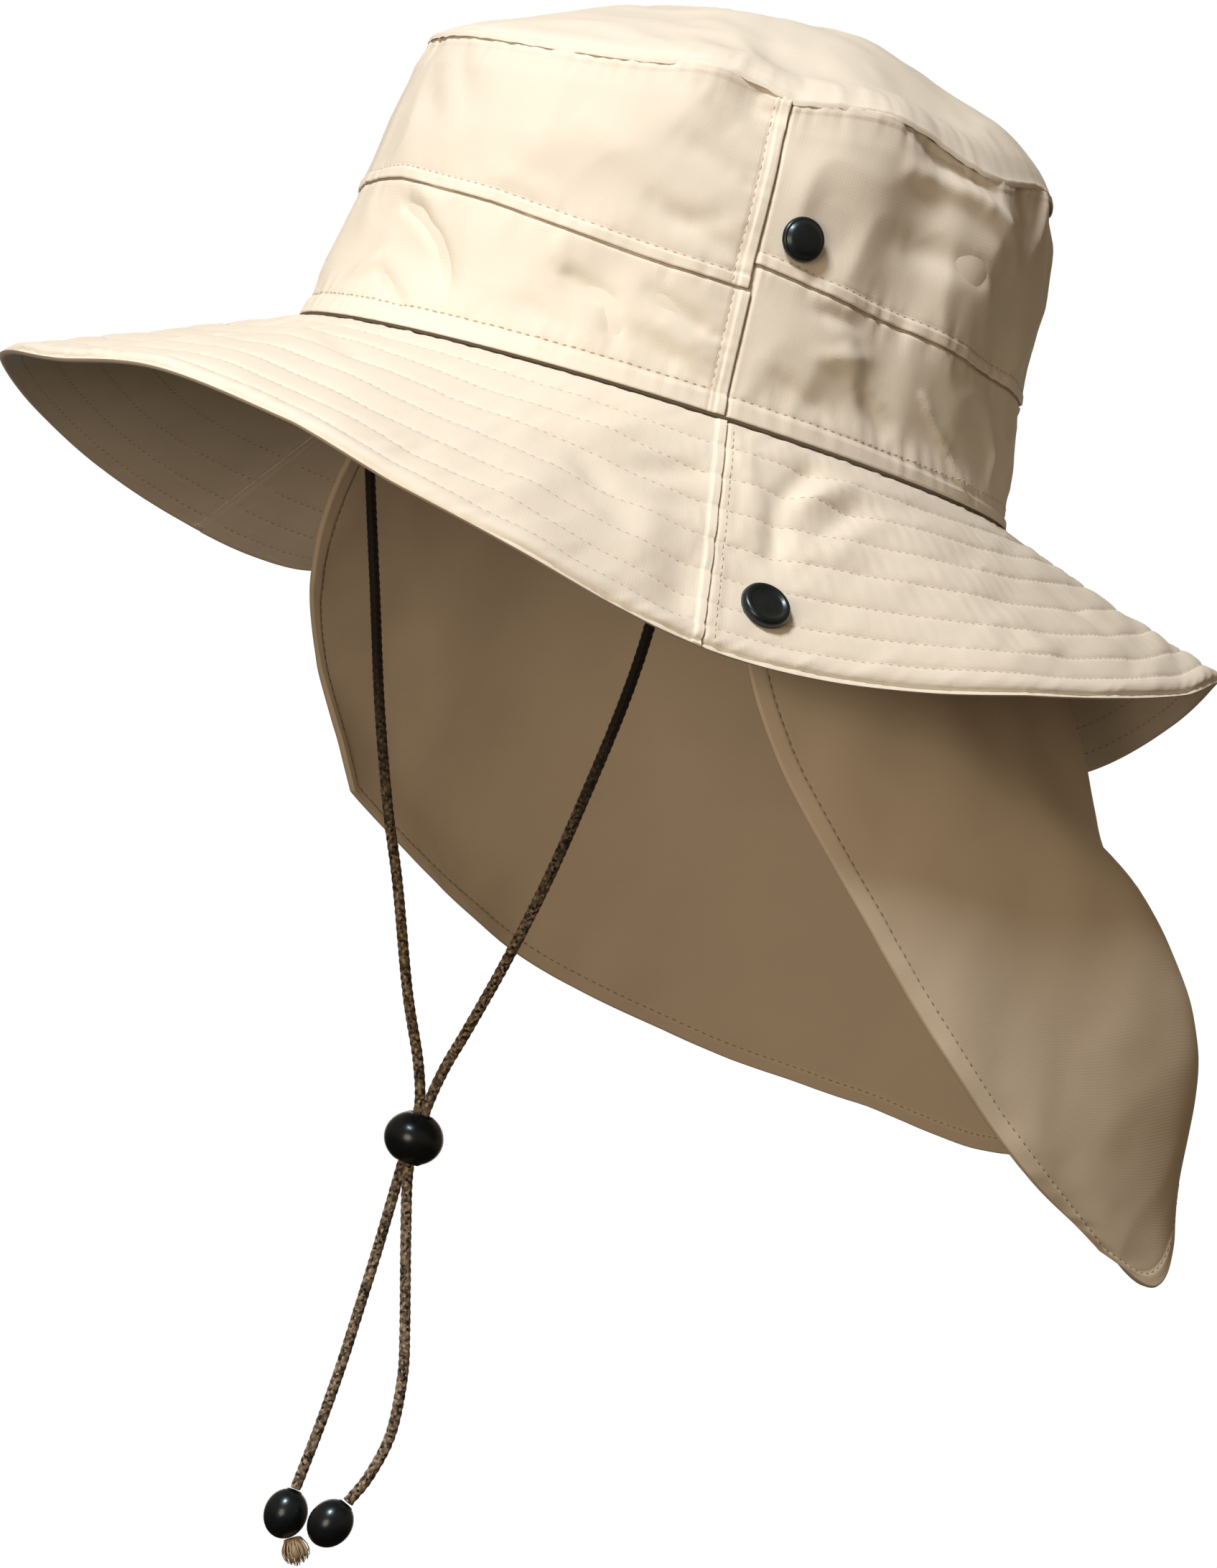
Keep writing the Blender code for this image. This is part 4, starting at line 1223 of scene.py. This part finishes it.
# Neck flap
flapSize = {
    "drop": 0.177,
    "inset": 0.0008,
    "wall": 0.0014,
    "columns": 250,
    "rows": 118,
    "hem": 0.0046,             # stitch line from the edge
    "hemStep": 0.00030,
    "softFolds": 0.0007,
    "puckers": 0.00022,
}

# degrees from the front, then left, back and down as shares of drop, at each quarter of the way down
flapRibs = (
    (70, (0.12, 0.11, 0.35), (0.23, 0.34, 0.62), (0.28, 0.62, 0.845), (0.28, 0.84, 0.95)),
    (90, (0.10, 0.08, 0.27), (0.19, 0.29, 0.48), (0.24, 0.54, 0.75), (0.25, 0.77, 0.985)),
    (112, (0.11, 0.07, 0.27), (0.19, 0.39, 0.45), (0.235, 0.535, 0.64), (0.215, 0.62, 0.90)),
    (128, (0.10, 0.10, 0.25), (0.15, 0.31, 0.44), (0.21, 0.465, 0.65), (0.19, 0.535, 0.83)),
    (144, (0.11, 0.165, 0.25), (0.155, 0.25, 0.43), (0.19, 0.39, 0.63), (0.15, 0.485, 0.82)),
    (164, (0.055, 0.155, 0.23), (0.07, 0.255, 0.44), (0.09, 0.37, 0.66), (0.07, 0.46, 0.86)),
    (184, (-0.01, 0.14, 0.23), (-0.01, 0.25, 0.45), (-0.02, 0.37, 0.68), (-0.02, 0.46, 0.90)),
    (204, (-0.03, 0.13, 0.23), (-0.06, 0.24, 0.45), (-0.07, 0.34, 0.67), (-0.08, 0.43, 0.89)),
    (224, (-0.06, 0.12, 0.23), (-0.11, 0.23, 0.45), (-0.14, 0.32, 0.67), (-0.15, 0.38, 0.88)),
    (246, (-0.10, 0.09, 0.23), (-0.15, 0.17, 0.44), (-0.18, 0.23, 0.64), (-0.19, 0.28, 0.83)),
    (268, (-0.11, 0.04, 0.22), (-0.16, 0.10, 0.40), (-0.175, 0.20, 0.60), (-0.15, 0.27, 0.75)),
    (290, (-0.10, 0.01, 0.18), (-0.16, 0.05, 0.32), (-0.195, 0.13, 0.45), (-0.185, 0.25, 0.63)),
)


def flapPoint(u, v, f=flapSize):
    place = u * (len(flapRibs) - 1)
    angle = smooth([rib[0] for rib in flapRibs], place)
    start = oval(angle, f["inset"]) - Vector((0, 0, 0.0036))
    steps = [Vector((0, 0, 0))]
    for level in range(1, 5):
        left, back, drop = (smooth([rib[level][k] for rib in flapRibs], place) for k in range(3))
        steps.append(f["drop"] * Vector((left, back, -drop)))
    return start + smooth(steps, 4 * v)


def nearEdge(count, fine=0.82):
    # places 0 to 1, closer together near both ends
    even = [k / (count - 1) for k in range(count)]
    return [t - fine * math.sin(2 * math.pi * t) / (2 * math.pi) for t in even]


def hemLine(along, down, edge, hem):
    # where in the grid the stitches run, this far from one edge
    rowsAt = []
    columnsAt = []
    if edge == "bottom":
        for j in range(along.shape[1]):
            if min(along[-1, j], along[-1, -1] - along[-1, j]) > hem:
                wanted = down[-1, j] - hem
                i = int(np.searchsorted(down[:, j], wanted))
                rowsAt.append(i - 1 + (wanted - down[i - 1, j]) / (down[i, j] - down[i - 1, j]))
                columnsAt.append(float(j))
        return rowsAt, columnsAt
    end = 0 if edge == "left" else -1
    for i in range(3, along.shape[0]):
        if down[-1, end] - down[i, end] > hem:
            wanted = hem if edge == "left" else along[i, -1] - hem
            j = int(np.searchsorted(along[i], wanted))
            rowsAt.append(float(i))
            columnsAt.append(j - 1 + (wanted - along[i, j - 1]) / (along[i, j] - along[i, j - 1]))
    return rowsAt, columnsAt


def flapRelief(point, along, down, away, f=flapSize):
    # the cloth's waves, and how far the folded hem stands up
    p = point / mm
    broad = soft(p[0], p[1], p[2] * 0.45, 21, 4.4) + 0.15 * soft(p[0], p[1], p[2], 9, 8.8)
    wave = f["softFolds"] * broad * 1.5 + 0.00012 * ripple(p[0], p[1], p[2] * 0.7, 26, 12.5)
    pucker = grain((along + down) / 0.0042, away / 0.012, 1.5)
    wave += f["puckers"] * pucker * bump(away / mm - 4, 4.5)
    hem = f["hemStep"] * fade((f["hem"] + 0.0003 - away) / 0.0004) - 0.00014 * bump((away - f["hem"]) / mm, 0.4)
    half = f["wall"] / 2
    if away < half and down > 0.003:
        hem -= (half + hem) * edgeRoll(away, half)
    return wave * fade(down / 0.012), hem


def neckFlap(f=flapSize):
    us = nearEdge(f["columns"])
    vs = nearEdge(f["rows"])
    mid = np.array([[flapPoint(u, v) for u in us] for v in vs])
    rowSteps = np.linalg.norm(np.diff(mid, axis=1), axis=2)
    columnSteps = np.linalg.norm(np.diff(mid, axis=0), axis=2)
    along = np.pad(np.cumsum(rowSteps, axis=1), ((0, 0), (1, 0)))
    down = np.pad(np.cumsum(columnSteps, axis=0), ((1, 0), (0, 0)))
    fromEdge = np.minimum(np.minimum(along, along[:, -1:] - along), down[-1:, :] - down)
    normals = gridNormals(mid, 1)
    if normals[len(vs) // 2, len(us) // 2, 1] < 0:
        normals = -normals
    wave = np.zeros(fromEdge.shape)
    hem = np.zeros(fromEdge.shape)
    for spot in np.ndindex(fromEdge.shape):
        wave[spot], hem[spot] = flapRelief(mid[spot], along[spot], down[spot], fromEdge[spot])
    outer = mid + normals * (f["wall"] / 2 + wave + hem)[..., None]
    inner = mid - normals * (f["wall"] / 2 - wave + hem * 1.3)[..., None]
    uvs = np.stack((along, -down), axis=-1)
    wearAndPaintedShade = np.clip((0.0052 - fromEdge) / 0.0008, 0, 1) * 0.8
    piece = clothSheet("neckFlap", "neck_flap", outer, inner, uvs, wearAndPaintedShade, flapLook)
    verts = []
    faces = []
    for side, way in ((outer, normals), (inner, -normals)):
        for edge in ("left", "bottom", "right"):
            line = panelLine({"face": side, "normals": way}, *hemLine(along, down, edge, f["hem"]))
            stitchRow(verts, faces, *line)
    stitches = tubePiece("flapStitches", verts, faces, flapStitchLook, "flap_cloth")


neckFlap()
print("neck flap made")


# Snap
snapSize = {
    "stud": 0.0114,
    "socket": 0.0128,
    "height": 0.0026,
    "angle": 75.0,
    "studHeight": 0.0484,
    "studStand": 0.0006,
    "socketReach": 0.784,
    "socketStand": 0.0008,
    "sunk": 0.0008,
    "sides": 64,
}

# share of the radius, share of the height
studProfile = (
    (0.97, 0.06), (1, 0.22), (0.985, 0.36), (0.93, 0.50), (0.88, 0.55), (0.85, 0.54), (0.82, 0.58),
    (0.74, 0.76), (0.60, 0.90), (0.42, 0.98), (0.2, 1.01), (0, 1.02),
)
socketProfile = (
    (0.97, 0.08), (1, 0.28), (0.985, 0.50), (0.95, 0.74), (0.88, 0.92), (0.80, 0.97), (0.73, 0.90),
    (0.68, 0.76), (0.60, 0.68), (0.40, 0.63), (0.32, 0.66), (0.16, 0.68), (0, 0.68),
)


def snapHalf(name, node, profile, half, stand, points, s=snapSize):
    # points: its place on the cloth, one beside it and one above it
    point, beside, above = points
    axis = (beside - point).cross(above - point).normalized()
    rows = [(0, -s["sunk"]), (0.9 * half, -s["sunk"])] + [(half * out, s["height"] * up) for out, up in profile]
    lathe(name, node, rows, s["sides"], snapLook, point + axis * stand, axis)


def crownSnapStud(s=snapSize):
    angle, z = s["angle"], s["studHeight"]
    points = wallPoint(angle, z), wallPoint(angle + 1, z), wallPoint(angle, z + mm)
    snapHalf("crownSnapStud", "crown_snap_stud", studProfile, s["stud"] / 2, s["studStand"], points)


def brimSnapSocket(s=snapSize):
    angle, out = s["angle"], s["socketReach"]
    points = brimPoint(angle, out), brimPoint(angle + 1, out), brimPoint(angle, out - 0.02)
    snapHalf("brimSnapSocket", "brim_snap_socket", socketProfile, s["socket"] / 2, s["socketStand"], points)


crownSnapStud()
brimSnapSocket()
print("snap halves made")


# Studio
studio = {
    "key": 19.2,
    "keySize": 0.38,
    "keyReach": 1.5,
    "keyTurn": 20.0,           # degrees from the hat's front towards the wearer's left
    "keyRise": 44.0,
    "keyColour": (1.0, 0.99, 0.975),
    "fill": 13.0,              # level with the flap, reaches in under the brim
    "fillSize": 0.9,
    "fillReach": 2.0,
    "fillTurn": 33.0,
    "fillColour": (1.0, 0.77, 0.56),
    "bowl": 0.22,              # brightness of the bowl all round
    "bowlFloor": 0.03,
    "bowlColour": (1.0, 0.73, 0.46),
    "behind": 1.0,             # and behind the hat, as the photo shows it
    "brightCone": (34, 19),    # degrees from the view line where that begins and is full
}


def areaLight(name, way, reach, size, watts, colour):
    data = bpy.data.lights.new(name, "AREA")
    data.shape = "DISK"
    data.size = size
    data.energy = watts
    data.color = colour
    lamp = bpy.data.objects.new(name, data)
    lamp.location = Vector((0, 0.01, -0.05)) + way.normalized() * reach
    lamp.rotation_mode = "QUATERNION"
    lamp.rotation_quaternion = way.to_track_quat("Z", "Y")
    bpy.context.collection.objects.link(lamp)


def softStep(tree, value, low, high):
    inputs = {"Value": value, "From Min": low, "From Max": high}
    return addNode(tree, "MapRange", inputs, interpolation_type="SMOOTHSTEP").outputs["Result"]


def studioBowl(s=studio):
    # a closed bowl of glowing paper, bright only where the photo's camera sees it behind the hat
    radius = 4.0
    mesh = bmesh.new()
    bmesh.ops.create_uvsphere(mesh, u_segments=96, v_segments=48, radius=radius)
    data = bpy.data.meshes.new("studioBowl")
    mesh.to_mesh(data)
    mesh.free()
    data.shade_smooth()
    bowl = bpy.data.objects.new("studioBowl", data)
    bpy.context.collection.objects.link(bowl)
    material, tree, principled = newMaterial("studioPaper")
    tree.nodes.remove(principled)
    spot = objectSpot(tree)
    level = addNode(tree, "SeparateXYZ", {0: spot}).outputs["Z"]
    inputs = {0: spot, 1: -photoBack / radius}
    ahead = addNode(tree, "VectorMath", inputs, operation="DOT_PRODUCT").outputs["Value"]
    floor, side = (tuple(s[key] * c for c in s["bowlColour"]) for key in ("bowlFloor", "bowl"))
    paper = mixColour(tree, softStep(tree, level, -2.0, 1.0), floor, side)
    bright = softStep(tree, ahead, *(math.cos(math.radians(a)) for a in s["brightCone"]))
    glow = addNode(tree, "Emission", {"Color": mixColour(tree, bright, paper, (s["behind"],) * 3)})
    feed(tree, tree.nodes["Material Output"], {"Surface": glow.outputs[0]})
    data.materials.append(material)


def lightStudio(s=studio):
    studioBowl()
    turn, rise = math.radians(s["keyTurn"]), math.radians(s["keyRise"])
    way = Vector((math.sin(turn) * math.cos(rise), -math.cos(turn) * math.cos(rise), math.sin(rise)))
    areaLight("keyLight", way, s["keyReach"], s["keySize"], s["key"], s["keyColour"])
    turn = math.radians(s["fillTurn"])
    way = Vector((math.sin(turn), -math.cos(turn), -0.06))
    areaLight("fillLight", way, s["fillReach"], s["fillSize"], s["fill"], s["fillColour"])
    world = bpy.data.worlds.new("studioWorld")
    world.use_nodes = True
    feed(world.node_tree, world.node_tree.nodes["Background"], {"Color": s["bowlColour"], "Strength": 0.0})
    bpy.context.scene.world = world
    bpy.context.scene.view_settings.view_transform = "Standard"


lightStudio()
print("studio lit")
